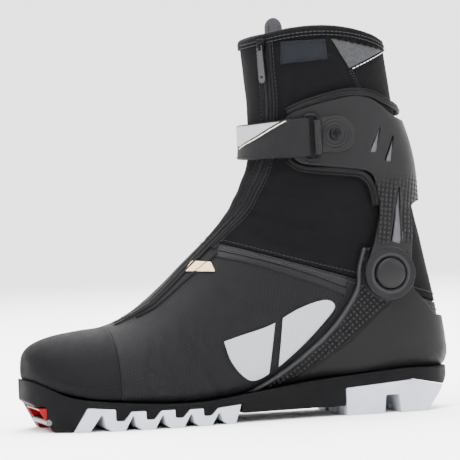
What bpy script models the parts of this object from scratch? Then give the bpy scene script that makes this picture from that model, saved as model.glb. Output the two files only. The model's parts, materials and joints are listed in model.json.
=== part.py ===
"""Left boot for skate-style cross-country skiing, EU size 42.

Frame: +Z up, the toe points to -X, the heel to +X, the lateral side faces -Y and the medial side +Y.
The boot stands on z = 0. Lengths below are in millimetres; a mesh is scaled to metres when it is made.
"""

import math

import bmesh
import bpy
import numpy as np
from mathutils import Matrix, Vector

MM = 0.001

# ---------------------------------------------------------------- driving dimensions, mm
# The boot's outer skin is a loft. Each station is a slanted section plane across the boot:
# front or top point (x, z), back or bottom point (x, z), half width, where along the section
# the boot is widest (0 at the top, 1 at the bottom), and how square its two halves are.
STATIONS = (
    ((-152.6, 48.0), (-152.6, 40.0), 4.0, 0.50, 2.0, 2.0),      # 0 tip of the toe
    ((-150.0, 55.5), (-150.0, 35.5), 18.0, 0.55, 2.0, 2.2),     # 1
    ((-143.0, 61.0), (-143.5, 31.5), 28.5, 0.62, 2.0, 2.6),     # 2
    ((-130.0, 65.2), (-131.0, 26.0), 37.5, 0.68, 2.0, 3.2),     # 3
    ((-112.0, 68.0), (-113.0, 20.5), 43.5, 0.70, 2.0, 3.6),     # 4
    ((-94.0, 70.5), (-93.0, 17.5), 47.0, 0.72, 2.0, 3.8),       # 5 back of the toe cap
    ((-75.0, 79.0), (-67.0, 15.5), 48.5, 0.74, 2.0, 3.8),       # 6 ball of the foot
    ((-56.0, 93.3), (-35.0, 14.5), 46.5, 0.76, 2.0, 3.6),       # 7
    ((-37.0, 111.0), (5.0, 19.0), 41.5, 0.74, 2.0, 3.4),        # 8 instep
    ((-20.5, 126.0), (53.0, 26.0), 37.5, 0.66, 2.0, 3.2),       # 9
    ((-8.0, 138.5), (103.0, 27.5), 36.0, 0.58, 2.0, 3.0),       # 10
    ((1.5, 151.0), (147.5, 34.5), 36.0, 0.55, 2.0, 2.5),        # 11 corner of the heel
    ((8.5, 165.0), (150.0, 66.0), 37.0, 0.52, 2.0, 2.2),        # 12
    ((14.5, 178.0), (143.0, 103.0), 38.0, 0.50, 2.1, 2.1),      # 13 ankle
    ((17.0, 192.0), (135.0, 140.0), 38.5, 0.50, 2.1, 2.1),      # 14
    ((17.5, 207.0), (129.0, 172.0), 39.0, 0.50, 2.2, 2.1),      # 15 under the strap
    ((17.3, 224.0), (124.0, 203.0), 39.5, 0.50, 2.2, 2.1),      # 16
    ((15.6, 243.0), (120.0, 232.0), 40.5, 0.50, 2.2, 2.1),      # 17 collar
    ((13.8, 265.5), (116.5, 260.5), 41.5, 0.50, 2.2, 2.1),      # 18 rim
)
LAST = len(STATIONS) - 1
COLUMNS = 32            # points round each section
HALF = COLUMNS // 2     # column 0 is the front ridge, column 16 the back or bottom
RINGS_PER_STATION = 2
FIRST_LEG_RING = 8 * RINGS_PER_STATION
RIM_BOW = 9.0           # the rim stands this much higher at its sides than at front and back
TOE_TURN_IN = 7.0       # the toe turns in towards the medial side

SKIN = 2.0              # thickness of the sewn upper
BOARD = 1.5             # insole board
LINING = 2.6            # padded lining
FOOTBED = 3.0           # footbed and tongue
FOOTBED_GAP = 1.5       # air under the footbed, which is flatter than the lining
INNER_GAP = 0.7         # air between the layers inside
GAP = 0.4               # air between pieces that touch
SHELL_GAP = 0.6         # air between the upper and the moulded pieces round it
FINE, SEWN, COARSE = (1, 1), (2, 1), (2, 2)     # grid strides: moulded pieces, sewn pieces, inner layers
TRIM = 0.7              # thickness of patches and bands sewn or welded on the upper

PIVOT = (103.6, 98.8)   # x and z of the cuff's hinge axis
PIVOT_BOSS_R = 18.5
CHASSIS_TOP_Z = 117.3
CHASSIS_FACE_Y = 39.6   # flat face of the chassis round the pivot
CUFF_FACE_Y = 44.8      # flat outer face of the cuff round the pivot
PIVOT_HOLE_R = 6.0
RIVET_HOLE_R = 4.9

BAR_CENTRE = (-140.6, 7.0)
BAR_R = 2.2
BAR_HALF_LENGTH = 25.5
RECESS_HALF_WIDTH = 23.0

CUFF_THICKNESS = 3.0
CHASSIS_THICKNESS = 2.6

# half widths of the sole, with the x they are measured at
SOLE_OUTLINE = (
    (-154.6, 0.0), (-151.0, 15.0), (-143.0, 27.0), (-130.0, 36.5), (-112.0, 43.5), (-93.0, 47.3),
    (-67.0, 48.9), (-35.0, 46.8), (5.0, 41.3), (53.0, 36.6), (100.0, 34.6), (124.0, 31.5),
    (140.0, 23.0), (149.0, 12.0), (152.0, 0.0),
)
# height of the sole's upper edge on the sides of the boot
RAND_TOP = (
    (-156.0, 36.0), (-145.0, 32.5), (-134.0, 26.0), (-124.0, 22.0), (-103.0, 20.0), (-75.0, 17.8),
    (-53.0, 16.6), (-30.0, 17.0), (0.0, 20.5), (24.0, 23.4), (51.0, 26.4), (85.0, 29.0),
    (116.0, 31.0), (135.0, 28.5), (156.0, 24.5),
)
ARCH_BOTTOM_Z = 6.8
SOLE_HALF_DEPTH = 60.0   # the sole's side outlines are cut wider than the plan that trims them

TREAD_PITCH = 20.5      # from one lug of the forefoot to the next
FIRST_LUG_X = -101.9
LUG_COUNT = 5
LUG_LENGTH = 10.0
TREAD_TOP_Z = 13.6
TREAD_PLATE = 2.6
TOOTH_BOTTOM_Z = 7.0

UPPER_SEAM_SLOPE = -0.31        # line between the quarter and the softshell, in side view
UPPER_SEAM_Z = 121.2            # its height at x = 0

# the zip's course over the skin, as (station, column)
ZIP_LINE = (
    (18.0, 2.95), (17.0, 2.8), (16.0, 2.65), (15.0, 2.35), (14.0, 1.95), (13.0, 1.55), (12.0, 1.15),
    (11.0, 0.9), (10.0, 0.8), (9.0, 0.9), (7.8, 1.15), (6.6, 1.5), (5.75, 1.0), (5.2, 1.0),
)
ZIP_SPLIT = 14.95       # station where the collar's zip meets the gaiter's
LOWER_TAPE_HALF = 3.0   # half width of the lower zip's tape

STRAP_THICKNESS = 1.5
RING_WIRE_R = 1.4
RING_OFFSET = 9.0
RING_FRONT_X = 47.5
RING_BACK_X = 56.0
RING_LOW_Z = 180.6
RING_HIGH_Z = 212.2
RING_HALF_X = (RING_BACK_X - RING_FRONT_X) / 2
RING_HALF_Z = (RING_HIGH_Z - RING_LOW_Z) / 2
STRAP_MIDDLE_Z = 197.0
SCREW_AT = (67.0, 198.0)

# side views of the openings in the cuff
SLITS = (
    ((101.5, 202.0), (104.5, 203.0), (95.2, 184.0), (93.2, 184.0)),
    ((112.5, 195.5), (115.5, 195.5), (107.6, 177.0), (105.2, 177.0)),
)
WINDOW = ((114.2, 158.0), (116.4, 158.0), (111.2, 120.0), (105.2, 122.0))


# ---------------------------------------------------------------- scene and objects
def clear_scene():
    for obj in list(bpy.data.objects):
        bpy.data.objects.remove(obj, do_unlink=True)


def new_collection(name):
    collection = bpy.data.collections.new(name)
    bpy.context.scene.collection.children.link(collection)
    return collection


clear_scene()
BOOT = new_collection("cross_country_boot")
CUTTERS = new_collection("cutters")


def make_material(name, color, roughness, metallic=0.0):
    material = bpy.data.materials.new(name)
    material.use_nodes = True
    shader = material.node_tree.nodes["Principled BSDF"]
    shader.inputs["Base Color"].default_value = (*color, 1.0)
    shader.inputs["Roughness"].default_value = roughness
    shader.inputs["Metallic"].default_value = metallic
    material.diffuse_color = (*color, 1.0)
    return material


FINISHES = {
    "softshell": ((0.012, 0.012, 0.013), 0.85),
    "ripstop": ((0.032, 0.032, 0.034), 0.6),
    "band": ((0.020, 0.020, 0.021), 0.5),
    "lining": ((0.022, 0.022, 0.024), 0.95),
    "board": ((0.25, 0.20, 0.14), 0.9),
    "sole_rubber": ((0.018, 0.018, 0.019), 0.55),
    "tread_rubber": ((0.72, 0.73, 0.78), 0.5),
    "recess_red": ((0.45, 0.01, 0.015), 0.4),
    "steel": ((0.42, 0.42, 0.43), 0.3, 1.0),
    "shell_plastic": ((0.035, 0.035, 0.037), 0.42),
    "lip_rubber": ((0.014, 0.014, 0.015), 0.6),
    "insert_grey": ((0.16, 0.16, 0.165), 0.45),
    "strap_web": ((0.040, 0.040, 0.042), 0.55),
    "reflective": ((0.16, 0.16, 0.165), 0.35),
    "silver_print": ((0.56, 0.57, 0.58), 0.45),
    "label_black": ((0.015, 0.015, 0.016), 0.6),
    "tag_tan": ((0.60, 0.45, 0.28), 0.6),
    "zip_black": ((0.010, 0.010, 0.011), 0.45),
    "puller_grey": ((0.09, 0.09, 0.095), 0.45),
}
MATERIALS = {}


def material_for(finish):
    if finish not in MATERIALS:
        MATERIALS[finish] = make_material(finish, *FINISHES[finish])
    return MATERIALS[finish]


def mesh_from(name, points, faces):
    mesh = bpy.data.meshes.new(name)
    mesh.from_pydata([tuple(c * MM for c in p) for p in points], [], faces)
    mesh.validate()
    mesh.update()
    return mesh


def add_part(name, mesh, finish, sharp_angle=35.0):
    """A visible sub-part, shaded smooth except across edges sharper than sharp_angle."""
    obj = bpy.data.objects.new(name, mesh)
    BOOT.objects.link(obj)
    mesh.materials.clear()
    mesh.materials.append(material_for(finish))
    mesh.shade_smooth()
    mesh.set_sharp_from_angle(angle=math.radians(sharp_angle))
    return obj


def add_cutter(name, mesh):
    obj = bpy.data.objects.new(name, mesh)
    CUTTERS.objects.link(obj)
    obj.hide_render = True
    obj.display_type = "WIRE"
    return obj


def cut(obj, cutter, operation="DIFFERENCE"):
    modifier = obj.modifiers.new(operation.lower() + "_" + cutter.name, "BOOLEAN")
    modifier.operation = operation
    modifier.solver = "EXACT"
    modifier.object = cutter
    return obj


def thicken(obj, thickness):
    """Solidify outwards, along the surface's own normals."""
    modifier = obj.modifiers.new("thickness", "SOLIDIFY")
    modifier.thickness = thickness * MM
    modifier.offset = 1.0
    modifier.use_even_offset = False
    return obj


# ---------------------------------------------------------------- smooth values and outlines
def smooth_at(values, s):
    """Catmull-Rom curve through evenly spaced values, at position s."""
    last = len(values) - 1
    s = min(max(s, 0.0), float(last))
    i = min(int(s), last - 1)
    f = s - i
    p1, p2 = values[i], values[i + 1]
    p0 = values[i - 1] if i > 0 else 2 * p1 - p2
    p3 = values[i + 2] if i + 2 <= last else 2 * p2 - p1
    linear = (p2 - p0) * f
    square = (2 * p0 - 5 * p1 + 4 * p2 - p3) * f * f
    cube = (3 * p1 - p0 - 3 * p2 + p3) * f ** 3
    return 0.5 * (2 * p1 + linear + square + cube)


def between(table, x):
    """Straight-line value at x in a table of (x, value) pairs."""
    keys = [row[0] for row in table]
    values = [row[1] for row in table]
    if keys[0] > keys[-1]:
        keys.reverse()
        values.reverse()
    return float(np.interp(x, keys, values))


def ease(low, high, x):
    """0 below low, 1 above high, smooth between."""
    t = min(max((x - low) / (high - low), 0.0), 1.0)
    return t * t * (3 - 2 * t)


def arc(centre, radius, start_deg, end_deg, steps=8):
    angles = [math.radians(start_deg + (end_deg - start_deg) * k / steps) for k in range(steps + 1)]
    return [(centre[0] + radius * math.cos(a), centre[1] + radius * math.sin(a)) for a in angles]


def curved(points, steps=3):
    """Smooth line through a few (x, z) points, with a few short chords between each two."""
    xs = [p[0] for p in points]
    zs = [p[1] for p in points]
    count = (len(points) - 1) * steps
    return [(smooth_at(xs, k / steps), smooth_at(zs, k / steps)) for k in range(count + 1)]


def outline_mesh(name, outline, half_depth, plane="XZ"):
    """A closed flat outline, extruded both ways from its plane: along Y, or along Z for a plan."""
    curve = bpy.data.curves.new(name, "CURVE")
    curve.dimensions = "2D"
    curve.fill_mode = "BOTH"
    curve.extrude = half_depth * MM
    spline = curve.splines.new("POLY")
    spline.points.add(len(outline) - 1)
    for point, (a, b) in zip(spline.points, outline):
        point.co = (a * MM, b * MM, 0.0, 1.0)
    spline.use_cyclic_u = True
    flat = bpy.data.objects.new(name + "_curve", curve)
    CUTTERS.objects.link(flat)
    if plane == "XZ":
        flat.matrix_world = Matrix.Rotation(math.radians(90), 4, "X")
    bpy.context.view_layer.update()
    evaluated = flat.evaluated_get(bpy.context.evaluated_depsgraph_get())
    mesh = bpy.data.meshes.new_from_object(evaluated)
    mesh.transform(flat.matrix_world)
    shape = bmesh.new()
    shape.from_mesh(mesh)
    bmesh.ops.remove_doubles(shape, verts=shape.verts, dist=0.00001)
    bmesh.ops.recalc_face_normals(shape, faces=shape.faces)
    shape.to_mesh(mesh)
    shape.free()
    bpy.data.objects.remove(flat)
    return mesh


def side_cutter(name, outline, y_from=-80.0, y_to=80.0):
    """A prism with this side-view outline, between two distances across the boot."""
    mesh = outline_mesh(name, outline, abs(y_to - y_from) / 2)
    mesh.transform(Matrix.Translation((0.0, (y_from + y_to) / 2 * MM, 0.0)))
    return add_cutter(name, mesh)


def box_mesh(name, low, high):
    shape = bmesh.new()
    bmesh.ops.create_cube(shape, size=1.0)
    size = [(h - l) * MM for l, h in zip(low, high)]
    middle = [(h + l) / 2 * MM for l, h in zip(low, high)]
    bmesh.ops.scale(shape, vec=size, verts=shape.verts)
    bmesh.ops.translate(shape, vec=middle, verts=shape.verts)
    mesh = bpy.data.meshes.new(name)
    shape.to_mesh(mesh)
    shape.free()
    return mesh


def cylinder_mesh(name, centre, radius, y_from, y_to, sides=32):
    """A round bar across the boot, from y_from to y_to, centred on (x, z)."""
    shape = bmesh.new()
    depth = abs(y_to - y_from) * MM
    bmesh.ops.create_cone(shape, cap_ends=True, segments=sides, radius1=radius * MM,
                          radius2=radius * MM, depth=depth)
    bmesh.ops.rotate(shape, verts=shape.verts, matrix=Matrix.Rotation(math.radians(90), 3, "X"))
    middle = (centre[0] * MM, (y_from + y_to) / 2 * MM, centre[1] * MM)
    bmesh.ops.translate(shape, vec=middle, verts=shape.verts)
    mesh = bpy.data.meshes.new(name)
    shape.to_mesh(mesh)
    shape.free()
    return mesh


def turned(name, profile, origin, axis, finish, steps=24):
    """A turned piece. The (radius, height) profile runs down its outer side, top to bottom."""
    hollow = profile[0] == profile[-1]
    points = profile[:-1] if hollow else profile
    edges = [(k, (k + 1) % len(points)) for k in range(len(profile) - 1)]
    mesh = bpy.data.meshes.new(name)
    mesh.from_pydata([(r * MM, 0.0, h * MM) for r, h in points], edges, [])
    obj = bpy.data.objects.new(name, mesh)
    BOOT.objects.link(obj)
    mesh.materials.append(material_for(finish))
    screw = obj.modifiers.new("turn", "SCREW")
    screw.steps = steps
    screw.render_steps = steps
    screw.use_merge_vertices = True
    screw.merge_threshold = 0.00001
    screw.use_smooth_shade = True
    place_along(obj, origin, axis)
    return obj


def place_along(obj, origin, axis):
    """Put an object's origin at a point, its own Z along an axis."""
    turn = Vector((0, 0, 1)).rotation_difference(Vector(axis).normalized())
    obj.rotation_mode = "QUATERNION"
    obj.rotation_quaternion = turn
    obj.location = [c * MM for c in origin]


# ---------------------------------------------------------------- the outer skin
def toe_shift(x):
    """How far the middle of the boot lies to the medial side at x."""
    return TOE_TURN_IN * min(max((-60.0 - x) / 95.0, 0.0), 1.0) ** 1.5


def section_points(s, columns=COLUMNS):
    """Points round the section at station s: lateral side from front to back, then medial side."""
    top = np.array([smooth_at([row[0][k] for row in STATIONS], s) for k in (0, 1)])
    low = np.array([smooth_at([row[1][k] for row in STATIONS], s) for k in (0, 1)])
    numbers = [smooth_at([row[k] for row in STATIONS], s) for k in (2, 3, 4, 5)]
    width, widest, square_top, square_low = numbers
    along = (1 - np.cos(np.linspace(0, math.pi, 241))) / 2
    above = (1 - np.clip((widest - along) / widest, 0, 1) ** square_top) ** (1 / square_top)
    below = (1 - np.clip((along - widest) / (1 - widest), 0, 1) ** square_low) ** (1 / square_low)
    half_width = width * np.where(along < widest, above, below)
    steps = np.hypot(np.diff(along) * np.linalg.norm(low - top), np.diff(half_width))
    distance = np.concatenate([[0.0], np.cumsum(steps)])
    wanted = np.linspace(0.0, distance[-1], columns // 2 + 1)
    along = np.interp(wanted, distance, along)
    half_width = np.interp(wanted, distance, half_width)
    bow = RIM_BOW * ease(LAST - 2.5, LAST, s)
    points = []
    for k in list(range(columns // 2 + 1)) + list(range(columns // 2 - 1, 0, -1)):
        x, z = top + (low - top) * along[k]
        side = -1.0 if len(points) <= columns // 2 else 1.0
        points.append((x, side * half_width[k] + toe_shift(x), z + bow * 4 * along[k] * (1 - along[k])))
    return points


def skin_grid():
    """Points and outward normals of the skin on an even grid of rings and columns."""
    rings = LAST * RINGS_PER_STATION + 1
    points = np.array([section_points(i / RINGS_PER_STATION) for i in range(rings)])
    along = np.gradient(points, axis=0)
    around = np.roll(points, -1, axis=1) - np.roll(points, 1, axis=1)
    normals = np.cross(around, along)
    normals /= np.linalg.norm(normals, axis=2, keepdims=True)
    return points, normals


SKIN_POINTS, SKIN_NORMALS = skin_grid()


def grid_value(grid, s, u):
    """Value of a grid between its points. u runs from 0 at the front, over the lateral side, to COLUMNS."""
    ring = min(max(s * RINGS_PER_STATION, 0.0), len(grid) - 1.000001)
    i = int(ring)
    u = u % COLUMNS
    j = int(u) % COLUMNS
    f, g = ring - i, u - int(u)
    k = (j + 1) % COLUMNS
    near = grid[i, j] * (1 - g) + grid[i, k] * g
    far = grid[i + 1, j] * (1 - g) + grid[i + 1, k] * g
    return near * (1 - f) + far * f


def skin_point(s, u, offset=0.0):
    """Point on the skin, or offset from it along the outward normal."""
    normal = grid_value(SKIN_NORMALS, s, u)
    return grid_value(SKIN_POINTS, s, u) + normal / np.linalg.norm(normal) * offset


def skin_normal(s, u):
    normal = grid_value(SKIN_NORMALS, s, u)
    return normal / np.linalg.norm(normal)


def station_at_height(u, z):
    """Station at which column u of the leg passes height z."""
    j = math.floor(u) % COLUMNS
    k = (j + 1) % COLUMNS
    share = u - math.floor(u)
    heights = SKIN_POINTS[FIRST_LEG_RING:, j, 2] * (1 - share) + SKIN_POINTS[FIRST_LEG_RING:, k, 2] * share
    rings = np.arange(FIRST_LEG_RING, len(SKIN_POINTS))
    return float(np.interp(z, heights, rings)) / RINGS_PER_STATION


def column_at(x, z, medial=False):
    """Column and station of the skin point at x and z on one side of the leg."""
    columns = np.linspace(0.5, HALF - 0.5, 70)
    if medial:
        columns = COLUMNS - columns
    stations = [station_at_height(u, z) for u in columns]
    reach = [grid_value(SKIN_POINTS, s, u)[0] for s, u in zip(stations, columns)]
    best = int(np.argmin(np.abs(np.array(reach) - x)))
    return float(columns[best]), stations[best]


def grid_lines(start, end, step):
    """start, then the skin's own grid lines, then end."""
    first = math.floor(start / step + 1e-6) + 1
    last = math.ceil(end / step - 1e-6) - 1
    return [start] + [k * step for k in range(first, last + 1)] + [end]


def skin_patch(name, stations, columns=None, offset=0.0, close_toe=False, stride=FINE):
    """Open surface that follows the skin on every stride-th ring and column. columns None goes all the way round."""
    rows = grid_lines(stations[0], stations[1], stride[0] / RINGS_PER_STATION)
    ring = columns is None
    cols = list(range(0, COLUMNS, stride[1])) if ring else grid_lines(columns[0], columns[1], float(stride[1]))
    points = []
    for s in rows:
        for u in cols:
            depth = offset(grid_value(SKIN_POINTS, s, u)) if callable(offset) else offset
            points.append(tuple(skin_point(s, u, depth)))
    width = len(cols)
    faces = []
    for i in range(len(rows) - 1):
        for j in range(width if ring else width - 1):
            a = i * width + j
            b = i * width + (j + 1) % width
            faces.append((a, b, b + width, a + width))
    if close_toe:
        middle = np.mean([points[k] for k in range(width)], axis=0) - np.array([0.4, 0.0, 0.0])
        points.append(tuple(middle))
        faces += [((j + 1) % width, j, len(points) - 1) for j in range(width)]
    return mesh_from(name, points, faces)


def skin_shell(name, stations, offset, thickness, finish, columns=None, close_toe=False, stride=FINE):
    """A shell of even thickness that follows the skin, from offset outwards."""
    mesh = skin_patch(name, stations, columns, offset, close_toe, stride)
    return thicken(add_part(name, mesh, finish), thickness)


def skin_solid(name, offset):
    """The whole boot as one closed form, used to hollow what fits round it."""
    mesh = skin_patch(name, (0.0, LAST), None, offset, True)
    shape = bmesh.new()
    shape.from_mesh(mesh)
    rim = [e for e in shape.edges if e.is_boundary]
    bmesh.ops.holes_fill(shape, edges=rim, sides=0)
    bmesh.ops.recalc_face_normals(shape, faces=shape.faces)
    shape.to_mesh(mesh)
    shape.free()
    return add_cutter(name, mesh)


def overlay(name, outline, stations, offset, thickness, finish, side="lateral", first_column=0.0):
    """A patch on the skin with a given side-view outline, on one side or right round the boot."""
    columns = {"lateral": (first_column, float(HALF)), "medial": (float(HALF), float(COLUMNS)), "both": None}[side]
    obj = skin_shell(name, stations, offset, thickness, finish, columns)
    reach = {"lateral": (-80.0, -1.0), "medial": (1.0, 80.0), "both": (-80.0, 80.0)}[side]
    return cut(obj, side_cutter(name + "_outline", outline, *reach), "INTERSECT")


def strip_mesh(name, path, half_width, offset):
    """A narrow surface along a line of (station, column) points on the skin."""
    centres = [skin_point(s, u, offset) for s, u in path]
    points = []
    for k, (s, u) in enumerate(path):
        ahead = centres[min(k + 1, len(path) - 1)] - centres[max(k - 1, 0)]
        across = np.cross(ahead, skin_normal(s, u))
        across /= np.linalg.norm(across)
        points += [tuple(centres[k] - across * half_width), tuple(centres[k] + across * half_width)]
    faces = [(2 * k, 2 * k + 1, 2 * k + 3, 2 * k + 2) for k in range(len(path) - 1)]
    return mesh_from(name, points, faces)


def strip(name, path, half_width, offset, thickness, finish):
    """A narrow flat strip of even thickness along a line on the skin."""
    return thicken(add_part(name, strip_mesh(name, path, half_width, offset), finish), thickness)


def tube(name, points, radius, finish, cyclic=False, bevel_resolution=1):
    """A round cord or lip along points, as a curve with filled caps."""
    curve = bpy.data.curves.new(name, "CURVE")
    curve.dimensions = "3D"
    curve.bevel_depth = radius * MM
    curve.bevel_resolution = bevel_resolution
    curve.use_fill_caps = not cyclic
    spline = curve.splines.new("POLY")
    spline.points.add(len(points) - 1)
    for point, co in zip(spline.points, points):
        point.co = (*[c * MM for c in co], 1.0)
    spline.use_cyclic_u = cyclic
    spline.use_smooth = True
    obj = bpy.data.objects.new(name, curve)
    BOOT.objects.link(obj)
    curve.materials.append(material_for(finish))
    return obj


def tube_mesh(name, points, radius, finish, cyclic=False, bevel_resolution=1):
    """The same tube as a mesh, so that it can be cut or joined."""
    obj = tube(name + "_curve", points, radius, finish, cyclic, bevel_resolution)
    bpy.context.view_layer.update()
    evaluated = obj.evaluated_get(bpy.context.evaluated_depsgraph_get())
    mesh = bpy.data.meshes.new_from_object(evaluated)
    mesh.transform(obj.matrix_world)
    shape = bmesh.new()
    shape.from_mesh(mesh)
    bmesh.ops.remove_doubles(shape, verts=shape.verts, dist=0.00001)
    bmesh.ops.recalc_face_normals(shape, faces=shape.faces)
    shape.to_mesh(mesh)
    shape.free()
    bpy.data.objects.remove(obj)
    return mesh


# ---------------------------------------------------------------- the sole
def sole_plan(inset=0.0):
    """Plan outline of the sole: lateral side from toe to heel, then medial side back."""
    smooth = curved(SOLE_OUTLINE, 2)
    lateral = [(x, -max(w - inset, 0.0) + toe_shift(x)) for x, w in smooth]
    medial = [(x, max(w - inset, 0.0) + toe_shift(x)) for x, w in reversed(smooth[1:-1])]
    squeeze = 1 - inset / 154.0
    return [(x * squeeze, y) for x, y in lateral + medial]


def plan_cutter(name, inset=0.0):
    mesh = outline_mesh(name, sole_plan(inset), 40.0, plane="XY")
    return add_cutter(name, mesh)


def tread_top_line(clearance):
    """Underside of the black wall along the forefoot: a tooth of it drops over every lug."""
    line = [(-126.0 - clearance, -1.0), (-116.4 - clearance, 16.6 + clearance)]
    for k in range(LUG_COUNT - 1):
        tooth = FIRST_LUG_X + TREAD_PITCH * k + 4.0
        high = TREAD_TOP_Z - 0.45 * k + clearance
        line += [(tooth + clearance, high + (1.5 if k == 0 else 0.0)),
                 (tooth + clearance, TOOTH_BOTTOM_Z + clearance),
                 (tooth + 5.6 - clearance, TOOTH_BOTTOM_Z + clearance),
                 (tooth + 10.5 - clearance, high - 0.45)]
    line += [(-8.4 + clearance, 13.2 + clearance), (-12.6 + clearance, -1.0)]
    return line


def forefoot_profile():
    """Side view of the white forefoot tread: a sloping leg, then five lugs under a thin wavy band."""
    top = tread_top_line(0.0)
    top[0] = (-126.0, 0.0)
    top[-1] = (-13.0, 0.0)
    under = []
    for k in reversed(range(LUG_COUNT)):
        front = FIRST_LUG_X + TREAD_PITCH * k
        high = TREAD_TOP_Z - TREAD_PLATE - 0.45 * k
        if k < LUG_COUNT - 1:
            under += [(front + LUG_LENGTH + 5.8, high), (front + LUG_LENGTH + 1.0, 2.0), (front + LUG_LENGTH, 0.0)]
        under += [(front + 0.6, 0.0), (front - 3.2, 3.2), (front - 4.6, high)]
    under += [(-106.8, 12.6), (-115.4, 0.0)]
    return top + under


def guide_groove(name, y_from, y_to):
    """One of the two grooves that run along the sole over the ski binding's ridges."""
    return add_cutter(name, box_mesh(name, (-131.0, y_from, -2.0), (160.0, y_to, 4.6)))


def build_sole():
    skin_cutter = skin_solid("skin_cutter", SHELL_GAP)
    grooves = [guide_groove("groove_lateral", -17.0, -8.0), guide_groove("groove_medial", 8.0, 17.0)]
    plan = plan_cutter("sole_plan")

    bottom = [(149.5, 20.5), (146.5, 17.4), (119.0, 23.2), (69.6, 19.8), (69.6, ARCH_BOTTOM_Z)]
    bottom += [(-7.9, ARCH_BOTTOM_Z)]
    bottom += list(reversed(tread_top_line(0.3)[1:-1]))
    bottom += [(-126.4, 0.3), (-138.0, 0.3), (-149.2, 19.0), (-156.0, 23.0)]
    outsole_mesh = outline_mesh("outsole", list(RAND_TOP) + bottom, SOLE_HALF_DEPTH)
    outsole = add_part("outsole", outsole_mesh, "sole_rubber")
    cut(outsole, plan, "INTERSECT")
    cut(outsole, skin_cutter)
    recess = [(-170.0, -5.0), (-170.0, 17.4), (-134.5, 17.4), (-129.9, 0.0), (-128.7, -5.0)]
    cut(outsole, side_cutter("recess_cut", recess, -RECESS_HALF_WIDTH, RECESS_HALF_WIDTH))
    cut(outsole, add_cutter("bar_socket", cylinder_mesh(
        "bar_socket", BAR_CENTRE, BAR_R + 0.3, -BAR_HALF_LENGTH - 0.3, BAR_HALF_LENGTH + 0.3)))
    cut(outsole, add_cutter("shank_pocket", box_mesh("shank_pocket", (-6.4, -13.5, 9.4), (68.4, 13.5, 60.0))))

    lining = [(-147.6, 17.0), (-134.9, 17.0), (-130.5, 0.6), (-138.4, 0.6)]
    hollow = [(-160.0, 15.6), (-136.5, 15.6), (-132.2, -3.0), (-160.0, -3.0)]
    side = RECESS_HALF_WIDTH - 0.3
    liner_mesh = outline_mesh("toe_recess_liner", lining, side)
    liner = add_part("toe_recess_liner", liner_mesh, "recess_red")
    cut(liner, side_cutter("recess_hollow", hollow, 1.5 - side, side - 1.5))
    cut(liner, add_cutter("bar_hole", cylinder_mesh("bar_hole", BAR_CENTRE, BAR_R + 0.3, -30.0, 30.0)))

    bar = cylinder_mesh("toe_bar", BAR_CENTRE, BAR_R, -BAR_HALF_LENGTH, BAR_HALF_LENGTH, sides=24)
    add_part("toe_bar", bar, "steel")

    tread_mesh = outline_mesh("forefoot_tread", forefoot_profile(), SOLE_HALF_DEPTH)
    tread = add_part("forefoot_tread", tread_mesh, "tread_rubber")
    cut(tread, plan, "INTERSECT")
    for groove in grooves:
        cut(tread, groove)

    heel = [(70.0, 0.0), (70.0, 19.4), (119.0, 22.8), (146.4, 17.0), (131.5, 1.0), (129.5, 0.0),
            (110.0, 0.0), (108.7, 12.9), (99.2, 12.9), (97.9, 0.0)]
    heel_tread = add_part("heel_tread", outline_mesh("heel_tread", heel, SOLE_HALF_DEPTH), "tread_rubber")
    cut(heel_tread, plan, "INTERSECT")
    for groove in grooves:
        cut(heel_tread, groove)

    shank = add_part("shank", box_mesh("shank", (-6.0, -13.0, 9.8), (68.0, 13.0, 12.6)), "steel")
    bevel = shank.modifiers.new("rounded", "BEVEL")
    bevel.width = 0.8 * MM
    bevel.segments = 1


# ---------------------------------------------------------------- the upper and what is inside it
def seam_z(x):
    return UPPER_SEAM_Z + UPPER_SEAM_SLOPE * x


def seam_side(name, above, clearance):
    """A prism that covers everything above, or below, the seam across the upper."""
    far = 400.0 if above else -400.0
    shift = clearance if above else -clearance
    line = [(-200.0, seam_z(-200.0) + shift), (200.0, seam_z(200.0) + shift)]
    return side_cutter(name, line + [(200.0, far), (-200.0, far)])


def build_upper():
    skin_shell("toe_cap", (0.0, 4.97), -SKIN, SKIN, "ripstop", close_toe=True)

    quarter = skin_shell("quarter", (5.03, 14.0), -SKIN, SKIN, "ripstop")
    cut(quarter, seam_side("above_seam", True, -0.2))

    gaiter = skin_shell("ankle_gaiter", (7.0, 14.95), -SKIN, SKIN, "softshell")
    cut(gaiter, seam_side("below_seam", False, -0.2))

    skin_shell("collar_shell", (15.05, LAST), -SKIN, SKIN, "softshell", stride=SEWN)


def build_inside():
    """Board, bootie, footbed, tongue and the lining of the collar."""
    bottom = (HALF - 4.0, HALF + 4.0)
    board = -SKIN - INNER_GAP - BOARD
    skin_shell("insole_board", (1.5, 10.5), board, BOARD, "board", bottom, stride=COARSE)
    lining = board - INNER_GAP - LINING
    skin_shell("foot_liner", (1.0, 10.45), lining, LINING, "lining", close_toe=True, stride=COARSE)
    skin_shell("ankle_liner", (10.55, 14.95), lining, LINING, "lining", stride=COARSE)
    skin_shell("collar_liner", (15.05, LAST - 0.05), lining, LINING, "lining", stride=COARSE)
    footbed = lining - FOOTBED_GAP - FOOTBED
    skin_shell("footbed", (2.0, 10.0), footbed, FOOTBED, "board", bottom, stride=COARSE)
    skin_shell("tongue", (6.5, 14.9), footbed - INNER_GAP, FOOTBED, "lining", (-4.0, 4.0), stride=COARSE)


def zip_path(start, end, count):
    """Points along the zip between two stations, as (station, column)."""
    return [(s, between(ZIP_LINE, s)) for s in np.linspace(start, end, count)]


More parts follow.
